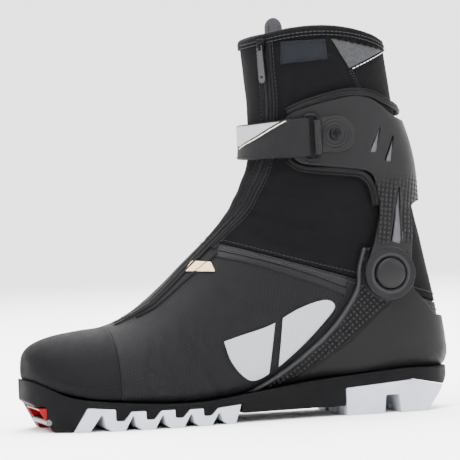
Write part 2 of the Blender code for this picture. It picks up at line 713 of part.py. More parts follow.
def build_trim():
    """Bands, tag, side graphic, label and reflective patches, all thin pieces on the skin."""
    channel = thicken(add_cutter("zip_channel", strip_mesh(
        "zip_channel", zip_path(ZIP_SPLIT, 5.2, 18), LOWER_TAPE_HALF + GAP, -1.0)), 5.0)
    low_edge = [(-27.0, 118.0), (6.0, 109.5), (40.0, 97.5), (72.0, 84.5)]
    middle = [(-23.5, 122.0), (6.3, 114.0), (40.3, 103.0), (73.0, 90.0)]
    high_edge = [(-19.5, 126.6), (7.3, 118.4), (40.8, 108.0), (73.5, 97.8)]
    for side in ("lateral", "medial"):
        lower = low_edge + [(x, z - 0.3) for x, z in reversed(middle)]
        upper = [(x, z + 0.3) for x, z in middle] + list(reversed(high_edge))
        lower_band = overlay("lower_band_" + side, lower, (7.5, 11.5), GAP, TRIM, "band", side, 0.9)
        upper_band = overlay("upper_band_" + side, upper, (7.5, 12.0), GAP, TRIM, "band", side, 0.9)
        if side == "lateral":
            cut(lower_band, channel)
            cut(upper_band, channel)

    tag = [(-40.0, 105.5), (-33.0, 113.0), (-25.5, 113.0), (-22.3, 105.2)]
    cut(overlay("instep_tag", tag, (7.0, 9.5), GAP, TRIM, "tag_tan"), channel)

    # plain leaf-shaped print on the quarter, split in two by a slanting gap
    leaf = curved([(-19.0, 57.0), (-14.5, 43.0), (-5.0, 31.5), (5.0, 29.5), (22.0, 38.5), (40.0, 52.0),
                   (55.0, 66.0), (64.0, 77.0), (57.0, 82.0), (38.0, 77.0), (16.0, 66.5), (-6.0, 60.5),
                   (-19.0, 57.0)], 2)[:-1]
    front_side = [(13.0, 20.0), (25.0, 90.0), (-60.0, 90.0), (-60.0, 20.0)]
    rear_side = [(15.4, 20.0), (27.4, 90.0), (100.0, 90.0), (100.0, 20.0)]
    for word, half_plane in (("front", front_side), ("rear", rear_side)):
        name = "side_graphic_" + word
        cut(overlay(name, leaf, (6.5, 11.0), GAP + 0.2, TRIM, "silver_print"),
            side_cutter(name + "_side", half_plane), "INTERSECT")

    label = [(33.0, 248.0), (33.3, 264.0), (63.0, 265.2), (62.0, 252.2)]
    overlay("collar_label", label, (16.5, 17.9), GAP, TRIM, "label_black")
    triangle = [(67.5, 264.8), (80.3, 243.7), (109.5, 256.0)]
    for side in ("lateral", "medial"):
        overlay("reflective_patch_" + side, triangle, (16.5, 17.9), GAP, TRIM, "reflective", side)


def build_collar_edge():
    """The bound rim, and the pull tab that stands up inside it."""
    rim = [skin_point(LAST, u, -3.6) + np.array([0.0, 0.0, 2.2]) for u in range(COLUMNS)]
    tube("collar_binding", [tuple(p) for p in rim], 1.7, "softshell", cyclic=True, bevel_resolution=0)

    width, height = 11.0, 23.0
    outline = [(-width / 2, 0.0), (width / 2, 0.0)]
    outline += arc((0.0, height - width / 2), width / 2, 0.0, 180.0, 6)
    mesh = outline_mesh("pull_tab", outline, 0.7)
    tab = add_part("pull_tab", mesh, "puller_grey")
    s, u = 17.6, COLUMNS - 5.5
    place = skin_point(s, u, -9.4)
    normal = skin_normal(s, u)
    tab.rotation_euler = (0.0, 0.0, math.atan2(normal[0], -normal[1]))
    tab.location = [c * MM for c in place]


# ---------------------------------------------------------------- zip
def build_zip():
    upper = zip_path(LAST - 0.02, ZIP_SPLIT + 0.1, 7)
    lower = zip_path(ZIP_SPLIT - 0.05, 5.3, 18)
    strip("zip_tape_upper", upper, 3.6, 0.5, 0.5, "zip_black")
    strip("zip_tape_lower", lower, LOWER_TAPE_HALF, 0.5, 0.5, "zip_black")
    strip("zip_teeth_upper", upper, 1.4, 1.3, 0.6, "zip_black")
    strip("zip_teeth_lower", lower, 1.2, 1.3, 0.6, "zip_black")

    top = skin_point(17.75, between(ZIP_LINE, 17.75), 0.0)
    low = skin_point(15.9, between(ZIP_LINE, 15.9), 0.0)
    down = Vector(low - top).normalized()
    normal = Vector(skin_normal(17.75, between(ZIP_LINE, 17.75)))
    across = normal.cross(down).normalized()
    normal = down.cross(across).normalized()
    frame = Matrix((across, -down, normal)).transposed().to_4x4()
    at = Vector(skin_point(17.75, between(ZIP_LINE, 17.75), 2.2))
    frame.translation = at * MM

    slider = add_part("zip_slider", outline_mesh("zip_slider", [
        (-2.2, -4.5), (2.2, -4.5), (3.6, 3.0), (2.4, 4.8), (-2.4, 4.8), (-3.6, 3.0)], 0.7, plane="XY"), "zip_black")
    slider.data.transform(Matrix.Translation((0.0, 0.0, 0.9 * MM)))
    slider.matrix_world = frame
    post = add_cutter("slider_post", box_mesh("slider_post", (-1.1, -1.6, 1.2), (1.1, 1.6, 4.6)))
    post.matrix_world = frame
    cut(slider, post, "UNION")
    eye = add_cutter("slider_eye", box_mesh("slider_eye", (-3.0, -0.75, 2.1), (3.0, 0.75, 3.6)))
    eye.matrix_world = frame
    cut(slider, eye)

    # flat puller on a cross pin through the slider's post; it hangs down the zip
    tip = -23.4
    plate = [(-2.0, -3.2), (-2.6, tip)] + arc((0.0, tip), 2.6, 180.0, 360.0, 6)[1:] + [(2.0, -3.2)]
    puller = add_part("zip_puller", outline_mesh("zip_puller", plate, 0.55, plane="XY"), "puller_grey")
    hinge = frame @ Matrix.Translation((0.0, 0.0, 2.85 * MM))
    puller.matrix_world = hinge
    for name, low_corner, high_corner in (
            ("puller_cheek_left", (-2.1, -4.0, -0.5), (-1.35, 0.5, 0.5)),
            ("puller_cheek_right", (1.35, -4.0, -0.5), (2.1, 0.5, 0.5)),
            ("puller_pin", (-2.0, -0.45, -0.45), (2.0, 0.45, 0.45))):
        piece = add_cutter(name, box_mesh(name, low_corner, high_corner))
        piece.matrix_world = hinge
        cut(puller, piece, "UNION")
    hole = add_cutter("puller_hole", box_mesh("puller_hole", (-0.8, tip + 0.8, -2.0), (0.8, tip + 2.4, 2.0)))
    hole.matrix_world = hinge
    cut(puller, hole)


# ---------------------------------------------------------------- heel chassis and cuff
def chassis_outline():
    """Heel counter with an arm that sweeps forward to a point on the sole, symmetric side to side.

    Behind the pivot the top stays inside the circle that the cuff clears as it flexes."""
    front = [(84.5, CHASSIS_TOP_Z), (80.6, 104.0), (78.2, 88.0), (62.8, 66.0), (43.6, 49.0), (20.9, 33.5), (-3.0, 20.6)]
    bottom = [(x, between(RAND_TOP, x) + 0.5) for x in (0.0, 24.0, 51.0, 85.0, 116.0, 135.0, 156.0)]
    back = [(156.0, 64.0), (148.0, 66.5), (141.0, 68.5), (133.0, 77.5), (124.0, 86.0)]
    back += arc(PIVOT, PIVOT_BOSS_R + 0.4, -10.0, 100.0, 8)
    return curved(front, 2) + bottom + back


def pivot_cylinder(name, side, radius, near, far):
    """A round cutter on the hinge axis, between two distances from the boot's middle plane."""
    return add_cutter(name, cylinder_mesh(name, PIVOT, radius, side * near, side * far, sides=28))


def build_chassis():
    chassis = skin_shell("heel_chassis", (7.0, 14.0), SHELL_GAP + 0.25, CHASSIS_THICKNESS, "shell_plastic")
    cut(chassis, side_cutter("chassis_outline", chassis_outline()), "INTERSECT")
    for side, word in ((-1, "lateral"), (1, "medial")):
        cut(chassis, pivot_cylinder("chassis_boss_" + word, side, PIVOT_BOSS_R, 20.0, CHASSIS_FACE_Y), "UNION")
    cut(chassis, bpy.data.objects["skin_cutter"])
    for side, word in ((-1, "lateral"), (1, "medial")):
        cut(chassis, pivot_cylinder("chassis_face_" + word, side, PIVOT_BOSS_R + 1.0, CHASSIS_FACE_Y, 60.0))
        cut(chassis, pivot_cylinder("chassis_hole_" + word, side, RIVET_HOLE_R, 20.0, 60.0))


def cuff_offset(point):
    """Inner face of the cuff, as a distance outside the skin."""
    x, z = point[0], point[2]
    low = 4.6 + (1.6 - 4.6) * ease(120.0, 160.0, z)
    swell = math.sin(math.pi * min(max((z - 146.0) / 64.0, 0.0), 1.0)) ** 0.8
    return low + 4.2 * swell * ease(100.0, 126.0, x)


def cuff_outline():
    top = curved([(33.5, 209.0), (38.5, 214.0), (50.0, 217.6), (64.0, 221.4), (79.0, 224.0), (93.0, 222.6),
                  (104.0, 217.0), (113.0, 210.5), (124.0, 206.8)], 2)
    back = [(160.0, 206.8), (160.0, 149.0), (133.0, 148.5), (126.0, 144.5), (124.4, 131.0), (122.6, 114.0)]
    boss = arc(PIVOT, PIVOT_BOSS_R - 0.8, 15.0, -190.0, 14)
    front = [(86.0, 104.0), (89.5, 112.5), (93.0, 122.5), (98.2, 140.0), (98.6, 150.0), (96.4, 160.0)]
    low = arc((86.0, 161.6), 10.4, 0.0, 88.0, 4) + [(77.0, 173.4), (56.0, 176.0), (44.0, 178.0), (38.5, 182.6),
                                                     (35.0, 190.0)]
    return top + back + boss + front[:-1] + low


def shrink(outline, amount):
    """Move an outline's points towards its middle."""
    cx = sum(p[0] for p in outline) / len(outline)
    cz = sum(p[1] for p in outline) / len(outline)
    moved = []
    for x, z in outline:
        distance = math.hypot(x - cx, z - cz)
        moved.append((cx + (x - cx) * (1 - amount / distance), cz + (z - cz) * (1 - amount / distance)))
    return moved


def build_cuff():
    cuff = skin_shell("cuff", (10.5, 17.0), cuff_offset, CUFF_THICKNESS, "shell_plastic",
                      columns=(2.0, COLUMNS - 2.0))
    cut(cuff, side_cutter("cuff_outline", cuff_outline()), "INTERSECT")
    near = CHASSIS_FACE_Y + GAP
    for side, word in ((-1, "lateral"), (1, "medial")):
        cut(cuff, pivot_cylinder("cuff_boss_" + word, side, PIVOT_BOSS_R, near - 3.0, CUFF_FACE_Y), "UNION")
        cut(cuff, pivot_cylinder("boss_clearance_" + word, side, PIVOT_BOSS_R + 1.2, 20.0, near))
        cut(cuff, pivot_cylinder("cuff_hole_" + word, side, PIVOT_HOLE_R + 0.3, 20.0, 60.0))
        cut(cuff, pivot_cylinder("cap_seat_" + word, side, 11.6, CUFF_FACE_Y - 1.4, 60.0))
    openings = {"slit_front": SLITS[0], "slit_rear": SLITS[1], "window": WINDOW}
    for name, outline in openings.items():
        for side, word in ((-1, "lateral"), (1, "medial")):
            reach = (-80.0, -1.0) if side < 0 else (1.0, 80.0)
            cut(cuff, side_cutter(name + "_cut_" + word, outline, *reach))
            overlay(name + "_insert_" + word, shrink(outline, 0.5), (11.0, 16.0),
                    lambda p: cuff_offset(p) + 0.6, 1.6, "insert_grey", word)


def build_pivots():
    """On each side a bush in the cuff, a rivet through it into the chassis, and a domed cap."""
    for side, word in ((-1, "lateral"), (1, "medial")):
        origin = (PIVOT[0], 0.0, PIVOT[1])
        axis = (0.0, float(side), 0.0)
        seat = CUFF_FACE_Y - 1.4
        turned("pivot_bush_" + word, [
            (4.9, seat - 0.3), (PIVOT_HOLE_R, seat - 0.3), (PIVOT_HOLE_R, CHASSIS_FACE_Y + 0.4),
            (4.9, CHASSIS_FACE_Y + 0.4), (4.9, seat - 0.3)], origin, axis, "insert_grey", 16)
        turned("pivot_rivet_" + word, [
            (0.0, seat + 1.2), (7.4, seat + 1.2), (7.4, seat + 0.3), (4.5, seat + 0.3),
            (4.5, CHASSIS_FACE_Y - 2.4), (0.0, CHASSIS_FACE_Y - 2.4)], origin, axis, "steel", 16)
        dome = [(10.8 * math.sin(a), seat + 1.9 + 2.9 * math.cos(a)) for a in np.linspace(0.0, math.pi / 2, 5)]
        turned("pivot_cap_" + word, dome + [
            (10.8, seat + 0.3), (8.0, seat + 0.3), (8.0, seat + 1.5), (0.0, seat + 1.5)],
            origin, axis, "shell_plastic", 24)


def edge_path(outline, offset, side):
    """3-D points along a side-view line on one side of the leg."""
    points = []
    for x, z in outline:
        u, s = column_at(x, z, medial=side > 0)
        points.append(tuple(skin_point(s, u, offset)))
    return points


def build_lips():
    """Soft lips along the cuff's upper and lower edges."""
    top_line = [(40.0, 218.4), (50.0, 221.4), (64.0, 225.2), (79.0, 227.8), (93.5, 226.4), (105.5, 220.6)]
    lateral = edge_path(curved(top_line, 2), 3.0, -1)
    medial = edge_path(curved(top_line, 2), 3.0, 1)
    back = []
    for u in np.linspace(HALF - 3.0, HALF + 3.0, 7):
        height = 210.6 + 3.2 * ((u - HALF) / 3.0) ** 2
        back.append(tuple(skin_point(station_at_height(u, height), u, 3.0)))
    tube("cuff_upper_lip", lateral + back + list(reversed(medial)), 1.7, "lip_rubber")
    low_line = [(39.5, 178.6), (46.0, 174.2), (56.0, 172.2), (77.0, 169.6), (85.5, 168.4), (91.0, 163.5),
                (93.2, 156.0), (94.4, 149.0)]
    for side, word in ((-1, "lateral"), (1, "medial")):
        tube("cuff_lower_lip_" + word, edge_path(curved(low_line, 2), 3.0, side), 1.7, "lip_rubber")


# ---------------------------------------------------------------- strap
def strap_edges(x):
    """Heights of the strap's lower and upper edges where it passes x."""
    lift = ease(5.0, 47.0, x)
    return 181.6 + 1.6 * lift, 206.0 + 3.4 * lift


def strap_depth(x):
    """Distance outside the skin of the strap's inner run: over the collar in front, over the cuff behind."""
    return 2.2 + 2.8 * ease(15.0, 30.0, x)


def leg_column(x, side):
    return column_at(x, STRAP_MIDDLE_Z, medial=side > 0)[0]


def leg_x(u):
    """x of the skin where column u passes the strap's middle."""
    return grid_value(SKIN_POINTS, station_at_height(u, STRAP_MIDDLE_Z), u)[0]


def ring_frame():
    """Middle of the strap ring and its directions: along the leg's side, up, and outward."""
    corners = []
    for x, z in ((RING_FRONT_X, RING_LOW_Z), (RING_BACK_X, RING_LOW_Z), (RING_BACK_X, RING_HIGH_Z),
                 (RING_FRONT_X, RING_HIGH_Z)):
        u, s = column_at(x, z)
        corners.append(Vector(skin_point(s, u, RING_OFFSET)))
    middle = sum(corners, Vector()) / 4
    along = ((corners[2] + corners[1]) - (corners[0] + corners[3])).normalized()
    up = Vector((0.0, 0.0, 1.0))
    up = (up - along * up.dot(along)).normalized()
    return middle, along, up, along.cross(up)


def strap_path():
    """The strap's inner run, its fold round the ring, and its outer run: (column, depth, turn)."""
    start = leg_column(70.0, 1) - COLUMNS
    near_ring = leg_column(RING_FRONT_X, -1) - 0.9
    path = [(u, strap_depth(leg_x(u)), None) for u in grid_lines(start, near_ring, 1.0)]
    path += [(near_ring, 0.0, math.radians(angle)) for angle in (0.0, 45.0, 90.0, 135.0, 180.0)]
    end = leg_column(34.0, 1) - COLUMNS
    at_ring = RING_OFFSET + RING_WIRE_R + 0.3 + STRAP_THICKNESS
    for u in reversed(grid_lines(end, near_ring, 1.0)):
        free = strap_depth(leg_x(u)) + 2 * STRAP_THICKNESS + 1.3
        path.append((u, free + (at_ring - free) * ease(near_ring - 2.0, near_ring + 0.9, u), None))
    return path


def build_strap():
    middle, along, up, outward = ring_frame()
    rows = 3
    reach = RING_WIRE_R + 0.3 + STRAP_THICKNESS
    points = []
    path = strap_path()
    for u, depth, turn in path:
        low, high = strap_edges(leg_x(u))
        for k in range(rows):
            z = low + (high - low) * k / (rows - 1)
            if turn is None:
                points.append(tuple(skin_point(station_at_height(u, z), u, depth)))
                continue
            centre = middle - along * RING_HALF_X + up * ((z - middle.z) / up.z)
            points.append(tuple(centre - outward * math.cos(turn) * reach + along * math.sin(turn) * reach))
    faces = [(i * rows + k, (i + 1) * rows + k, (i + 1) * rows + k + 1, i * rows + k + 1)
             for i in range(len(path) - 1) for k in range(rows - 1)]
    strap = add_part("strap", mesh_from("strap", points, faces), "strap_web")
    thicken(strap, STRAP_THICKNESS)


def build_ring():
    """Wire ring that holds the strap's fold, hinged in the anchor plate's rolled edge."""
    middle, along, up, _ = ring_frame()
    corner_r = 1.8
    loop = []
    for cx, cz, start in ((1, 1, 0.0), (-1, 1, 90.0), (-1, -1, 180.0), (1, -1, 270.0)):
        centre = (cx * (RING_HALF_X - corner_r), cz * (RING_HALF_Z - corner_r))
        for a, b in arc(centre, corner_r, start, start + 90.0, 3):
            loop.append(tuple(middle + along * a + up * b))
    tube("strap_ring", loop, RING_WIRE_R, "steel", cyclic=True)


def build_anchor():
    """Plate on the cuff with a rolled edge for the ring, its screw, and the stud on the other side."""
    middle, along, up, _ = ring_frame()
    plate = [(54.6, 186.0)] + arc((68.5, 198.0), 13.0, -88.0, 88.0, 10) + [(54.6, 210.0)]
    anchor = overlay("strap_anchor_plate", plate, (12.5, 17.0), 5.0, 1.8, "shell_plastic")
    axis = middle + along * RING_HALF_X
    sleeve_half = 12.0
    sleeve = tube_mesh("anchor_sleeve", [tuple(axis - up * sleeve_half), tuple(axis + up * sleeve_half)],
                       3.0, "shell_plastic", bevel_resolution=2)
    cut(anchor, add_cutter("anchor_sleeve", sleeve), "UNION")
    bore = tube_mesh("anchor_bore", [tuple(axis - up * 20.0), tuple(axis + up * 20.0)],
                     RING_WIRE_R + 0.35, "shell_plastic", bevel_resolution=2)
    cut(anchor, add_cutter("anchor_bore", bore))

    u, s = column_at(*SCREW_AT)
    normal = skin_normal(s, u)
    head = skin_point(s, u, 7.2)
    dome = [(4.2 * math.sin(a), 0.6 + 1.5 * math.cos(a)) for a in np.linspace(0.0, math.pi / 2, 5)]
    turned("anchor_screw", dome + [(4.2, 0.0), (0.0, 0.0)], head, normal, "steel", 16)
    screw = bpy.data.objects["anchor_screw"]
    for k, (a, b) in enumerate(((2.6, 0.45), (0.45, 2.6))):
        slot = add_cutter("cross_slot_" + str(k), box_mesh("cross_slot_" + str(k), (-a, -b, 1.1), (a, b, 4.0)))
        place_along(slot, head, normal)
        cut(screw, slot)

    u, s = column_at(60.0, 197.0, medial=True)
    normal = skin_normal(s, u)
    stud = skin_point(s, u, strap_depth(60.0) + STRAP_THICKNESS + 0.8)
    dome = [(4.6 * math.sin(a), 0.4 + 1.3 * math.cos(a)) for a in np.linspace(0.0, math.pi / 2, 5)]
    turned("strap_stud_medial", dome + [(4.6, 0.0), (0.0, 0.0)], stud, normal, "steel", 12)


def build_strap_pad():
    """Hook-and-loop pad between the two runs of the strap."""
    points = []
    columns = grid_lines(leg_column(34.0, 1) - COLUMNS + 0.4, leg_column(34.0, -1), 1.0)
    for u in columns:
        low, high = strap_edges(leg_x(u))
        depth = strap_depth(leg_x(u)) + STRAP_THICKNESS + 0.4
        for z in (low + 4.0, (low + high) / 2, high - 4.0):
            points.append(tuple(skin_point(station_at_height(u, z), u, depth)))
    faces = [(3 * k + row, 3 * k + row + 3, 3 * k + row + 4, 3 * k + row + 1)
             for k in range(len(columns) - 1) for row in range(2)]
    pad = add_part("strap_hook_pad", mesh_from("strap_hook_pad", points, faces), "softshell")
    thicken(pad, 0.45)


build_sole()
build_upper()
build_inside()
build_trim()
build_collar_edge()
build_zip()
build_chassis()
build_cuff()
build_pivots()
build_lips()
build_ring()
build_anchor()
build_strap()
build_strap_pad()
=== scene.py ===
"""Looks of the skate-style cross-country boot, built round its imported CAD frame.

Lengths are in millimetres until a mesh is made. The toe points to -X and the lateral side faces -Y.
"""

import json
import math

import bmesh
import bpy
import numpy as np
from mathutils import Matrix, Vector


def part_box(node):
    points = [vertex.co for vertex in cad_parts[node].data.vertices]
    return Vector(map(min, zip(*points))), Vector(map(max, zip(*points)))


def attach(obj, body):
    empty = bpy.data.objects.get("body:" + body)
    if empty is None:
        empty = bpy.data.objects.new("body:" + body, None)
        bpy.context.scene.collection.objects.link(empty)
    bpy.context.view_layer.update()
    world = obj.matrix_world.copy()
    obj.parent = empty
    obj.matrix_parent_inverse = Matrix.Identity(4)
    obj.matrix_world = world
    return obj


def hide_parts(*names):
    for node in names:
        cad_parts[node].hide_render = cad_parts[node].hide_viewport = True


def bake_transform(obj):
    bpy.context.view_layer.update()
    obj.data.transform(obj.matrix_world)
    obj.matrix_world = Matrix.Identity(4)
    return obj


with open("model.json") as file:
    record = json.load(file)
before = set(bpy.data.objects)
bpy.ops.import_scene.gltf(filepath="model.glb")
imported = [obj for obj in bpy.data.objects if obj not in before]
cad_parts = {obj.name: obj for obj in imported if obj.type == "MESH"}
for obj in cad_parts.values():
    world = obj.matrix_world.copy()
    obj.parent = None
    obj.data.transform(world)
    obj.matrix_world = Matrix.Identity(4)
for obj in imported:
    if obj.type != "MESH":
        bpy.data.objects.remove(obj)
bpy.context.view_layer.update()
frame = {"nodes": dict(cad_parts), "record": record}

MM = 0.001
UP = np.array([0.0, 0.0, 1.0])
SIDES = ((False, "lateral"), (True, "medial"))
INWARDS, BOTH_SIDES, OUTWARDS = -1.0, 0.0, 1.0      # where a surface gets its thickness
BODY_OF = {node: body for body, nodes in frame["record"]["behaviour"]["bodies"].items() for node in nodes}
CUTTERS = []            # objects that Boolean modifiers use, removed at the end

# ---------------------------------------------------------------- driving dimensions, mm
# The skin that every sewn piece follows, as in the CAD: front or top point, back or bottom point,
# half width, where the section is widest (0 top, 1 bottom), squareness above and below that.
STATIONS = (
    ((-152.6, 48.0), (-152.6, 40.0), 4.0, 0.50, 2.0, 2.0),
    ((-150.0, 55.5), (-150.0, 35.5), 18.0, 0.55, 2.0, 2.2),
    ((-143.0, 61.0), (-143.5, 31.5), 28.5, 0.62, 2.0, 2.6),
    ((-130.0, 65.2), (-131.0, 26.0), 37.5, 0.68, 2.0, 3.2),
    ((-112.0, 68.0), (-113.0, 20.5), 43.5, 0.70, 2.0, 3.6),
    ((-94.0, 70.5), (-93.0, 17.5), 47.0, 0.72, 2.0, 3.8),
    ((-75.0, 79.0), (-67.0, 15.5), 48.5, 0.74, 2.0, 3.8),
    ((-56.0, 93.3), (-35.0, 14.5), 46.5, 0.76, 2.0, 3.6),
    ((-37.0, 111.0), (5.0, 19.0), 41.5, 0.74, 2.0, 3.4),
    ((-20.5, 126.0), (53.0, 26.0), 37.5, 0.66, 2.0, 3.2),
    ((-8.0, 138.5), (103.0, 27.5), 36.0, 0.58, 2.0, 3.0),
    ((1.5, 151.0), (147.5, 34.5), 36.0, 0.55, 2.0, 2.5),
    ((8.5, 165.0), (150.0, 66.0), 37.0, 0.52, 2.0, 2.2),
    ((14.5, 178.0), (143.0, 103.0), 38.0, 0.50, 2.1, 2.1),
    ((17.0, 192.0), (135.0, 140.0), 38.5, 0.50, 2.1, 2.1),
    ((17.5, 207.0), (129.0, 172.0), 39.0, 0.50, 2.2, 2.1),
    ((17.3, 224.0), (124.0, 203.0), 39.5, 0.50, 2.2, 2.1),
    ((15.6, 243.0), (120.0, 232.0), 40.5, 0.50, 2.2, 2.1),
    ((13.8, 265.5), (116.5, 260.5), 41.5, 0.50, 2.2, 2.1),
)
LAST = len(STATIONS) - 1
COLUMNS = 32            # column 0 is the front ridge, 16 the back or bottom
HALF = COLUMNS / 2
FINE_S = 8              # grid rings kept for each station
FINE_U = 6              # grid columns kept for each column
RIM_BOW = 9.0
TOE_TURN_IN = 7.0

SEAM_SLOPE = -0.31      # the seam between the quarter and the softshell, in side view
SEAM_Z = 121.2
TOE_SEAM = 5.0          # station of the seam behind the toe cap

PIVOT = (103.6, 98.8)
PIVOT_BOSS_R = 18.5
CHASSIS_FACE_Y = 39.6
CUFF_FACE_Y = 44.8

ZIP_LINE = (
    (18.0, 2.95), (17.0, 2.8), (16.0, 2.65), (15.0, 2.35), (14.0, 1.95), (13.0, 1.55), (12.0, 1.15),
    (11.0, 0.9), (10.0, 0.8), (9.0, 0.9), (7.8, 1.15), (6.6, 1.5), (5.75, 1.0), (5.2, 1.0),
)


# ---------------------------------------------------------------- curves
def smooth(values, t):
    """Catmull-Rom curve through evenly spaced rows of values, at the positions in array t."""
    values = np.asarray(values, float)
    t = np.clip(np.asarray(t, float), 0.0, len(values) - 1.0)
    i = np.minimum(t.astype(int), len(values) - 2)
    f = t - i
    if values.ndim > 1:
        f = f[..., None]
    padded = np.concatenate([[2 * values[0] - values[1]], values, [2 * values[-1] - values[-2]]])
    p0, p1, p2, p3 = (padded[i + k] for k in range(4))
    linear = (p2 - p0) * f
    square = (2 * p0 - 5 * p1 + 4 * p2 - p3) * f * f
    cube = (3 * p1 - p0 - 3 * p2 + p3) * f ** 3
    return 0.5 * (2 * p1 + linear + square + cube)


def ease(low, high, x):
    """0 below low, 1 above high, smooth between."""
    t = np.clip((np.asarray(x, float) - low) / (high - low), 0.0, 1.0)
    return t * t * (3 - 2 * t)


def curved(points, count):
    """count points along the smooth line through a few points."""
    return smooth(points, np.linspace(0.0, len(points) - 1.0, count))


def travelled(points):
    """Distance along a line to each of its points."""
    return np.concatenate([[0.0], np.cumsum(np.linalg.norm(np.diff(points, axis=0), axis=1))])


def at_distance(points, distance, wanted):
    """Points of a line at the wanted distances along it."""
    return np.stack([np.interp(wanted, distance, column) for column in points.T], axis=-1)


def looped(rows):
    return np.concatenate([rows, rows[:1]])


def even(points, step):
    """The same line with points about step apart."""
    points = np.asarray(points, float)
    distance = travelled(points)
    count = max(2, int(round(distance[-1] / step)) + 1)
    return at_distance(points, distance, np.linspace(0.0, distance[-1], count))


def arc(centre, radius, start_deg, end_deg, steps=16):
    angles = np.radians(np.linspace(start_deg, end_deg, steps + 1))
    return [(centre[0] + radius * math.cos(a), centre[1] + radius * math.sin(a)) for a in angles]


# ---------------------------------------------------------------- the skin
def toe_shift(x):
    return TOE_TURN_IN * np.clip((-60.0 - x) / 95.0, 0.0, 1.0) ** 1.5


def section(s):
    """Points round the section at station s: lateral side from front to back, then the medial side."""
    rows = [np.array([row[k] for row in STATIONS], float) for k in range(6)]
    top, low, width, widest, square_top, square_low = (smooth(row, s) for row in rows)
    along = (1 - np.cos(np.linspace(0, math.pi, 721))) / 2
    above = (1 - np.clip((widest - along) / widest, 0, 1) ** square_top) ** (1 / square_top)
    below = (1 - np.clip((along - widest) / (1 - widest), 0, 1) ** square_low) ** (1 / square_low)
    half_width = width * np.where(along < widest, above, below)
    steps = np.hypot(np.diff(along) * np.linalg.norm(low - top), np.diff(half_width))
    distance = np.concatenate([[0.0], np.cumsum(steps)])
    half = int(HALF) * FINE_U
    wanted = np.linspace(0.0, distance[-1], half + 1)
    along = np.interp(wanted, distance, along)
    half_width = np.interp(wanted, distance, half_width)
    order = list(range(half + 1)) + list(range(half - 1, 0, -1))
    side = np.array([-1.0] * (half + 1) + [1.0] * (half - 1))
    along, half_width = along[order], half_width[order]
    x = top[0] + (low[0] - top[0]) * along
    z = top[1] + (low[1] - top[1]) * along
    bow = RIM_BOW * ease(LAST - 2.5, LAST, s) * 4 * along * (1 - along)
    return np.stack([x, side * half_width + toe_shift(x), z + bow], axis=1)


GRID = np.array([section(i / FINE_S) for i in range(LAST * FINE_S + 1)])
NORMALS = np.cross(np.roll(GRID, -1, axis=1) - np.roll(GRID, 1, axis=1), np.gradient(GRID, axis=0))
NORMALS /= np.linalg.norm(NORMALS, axis=2, keepdims=True)


def sample(grid, s, u):
    """Values of a fine grid at stations s and columns u."""
    ring = np.clip(np.asarray(s, float) * FINE_S, 0.0, len(grid) - 1.000001)
    column = (np.asarray(u, float) % COLUMNS) * FINE_U
    i, j = ring.astype(int), column.astype(int) % grid.shape[1]
    k = (j + 1) % grid.shape[1]
    f, g = (ring - i)[..., None], (column - np.floor(column))[..., None]
    near = grid[i, j] * (1 - g) + grid[i, k] * g
    far = grid[i + 1, j] * (1 - g) + grid[i + 1, k] * g
    return near * (1 - f) + far * f


def skin_normal(s, u):
    normal = sample(NORMALS, s, u)
    return normal / np.linalg.norm(normal, axis=-1, keepdims=True)


def skin(s, u, offset=0.0):
    """Points on the skin, moved outwards by offset."""
    s, u = np.broadcast_arrays(np.asarray(s, float), np.asarray(u, float))
    return sample(GRID, s, u) + skin_normal(s, u) * np.broadcast_to(offset, s.shape)[..., None]


def locate(x, z, medial=False):
    """Station and column of the skin points seen at x and z from one side."""
    x, z = np.atleast_1d(np.asarray(x, float)), np.atleast_1d(np.asarray(z, float))
    wanted = np.stack([x.ravel(), z.ravel()], axis=1)
    columns = int(HALF) * FINE_U - 3
    side = GRID[:, 2:columns + 2][..., [0, 2]].reshape(-1, 2)
    found = np.array([np.argmin(np.sum((side - point) ** 2, axis=1)) for point in wanted])
    s, u = found // columns / FINE_S, (found % columns + 2) / FINE_U
    step = 0.05
    for _ in range(4):
        here, ahead, beside = (sample(GRID, s + a, u + b)[..., [0, 2]]
                               for a, b in ((0, 0), (step, 0), (0, step)))
        (sx, sz), (ux, uz) = ((ahead - here) / step).T, ((beside - here) / step).T
        mx, mz = (wanted - here).T
        turn = sx * uz - sz * ux
        turn = np.where(np.abs(turn) < 1e-6, 1e-6, turn)
        s = np.clip(s + np.clip((mx * uz - mz * ux) / turn, -0.3, 0.3), 0.0, LAST)
        u = np.clip(u + np.clip((sx * mz - sz * mx) / turn, -0.5, 0.5), step, HALF - step)
    return s.reshape(x.shape), (COLUMNS - u if medial else u).reshape(x.shape)


def fullness(points, normals):
    """Extra roundness low down at the toe and heel, where the upper meets the sole's edge."""
    x, z = points[..., 0], points[..., 2]
    toe = 2.6 * (1 - ease(28.0, 46.0, z)) * (1 - ease(-115.0, -75.0, x))
    heel = 4.2 * (1 - ease(28.0, 50.0, z)) * ease(30.0, 90.0, x)
    return (toe + heel) * (1 - ease(0.75, 0.95, -normals[..., 2]))


def seam_stations(columns):
    """Station at which each column crosses the seam between the quarter and the softshell."""
    above = GRID[..., 2] - (SEAM_Z + SEAM_SLOPE * GRID[..., 0])
    first = int(TOE_SEAM * FINE_S)
    rings = np.arange(first, len(GRID))
    crossing = np.array([np.interp(0.0, above[first:, j], rings) for j in range(GRID.shape[1])]) / FINE_S
    places = np.arange(GRID.shape[1] + 1) / FINE_U
    return np.interp(np.asarray(columns) % COLUMNS, places, np.append(crossing, crossing[0]))


def zip_column(s):
    table = sorted(ZIP_LINE)
    return np.interp(s, [row[0] for row in table], [row[1] for row in table])


# ---------------------------------------------------------------- meshes
def linked(name, data):
    """A new object in the scene for a mesh, a light or a camera."""
    obj = bpy.data.objects.new(name, data)
    bpy.context.scene.collection.objects.link(obj)
    return obj


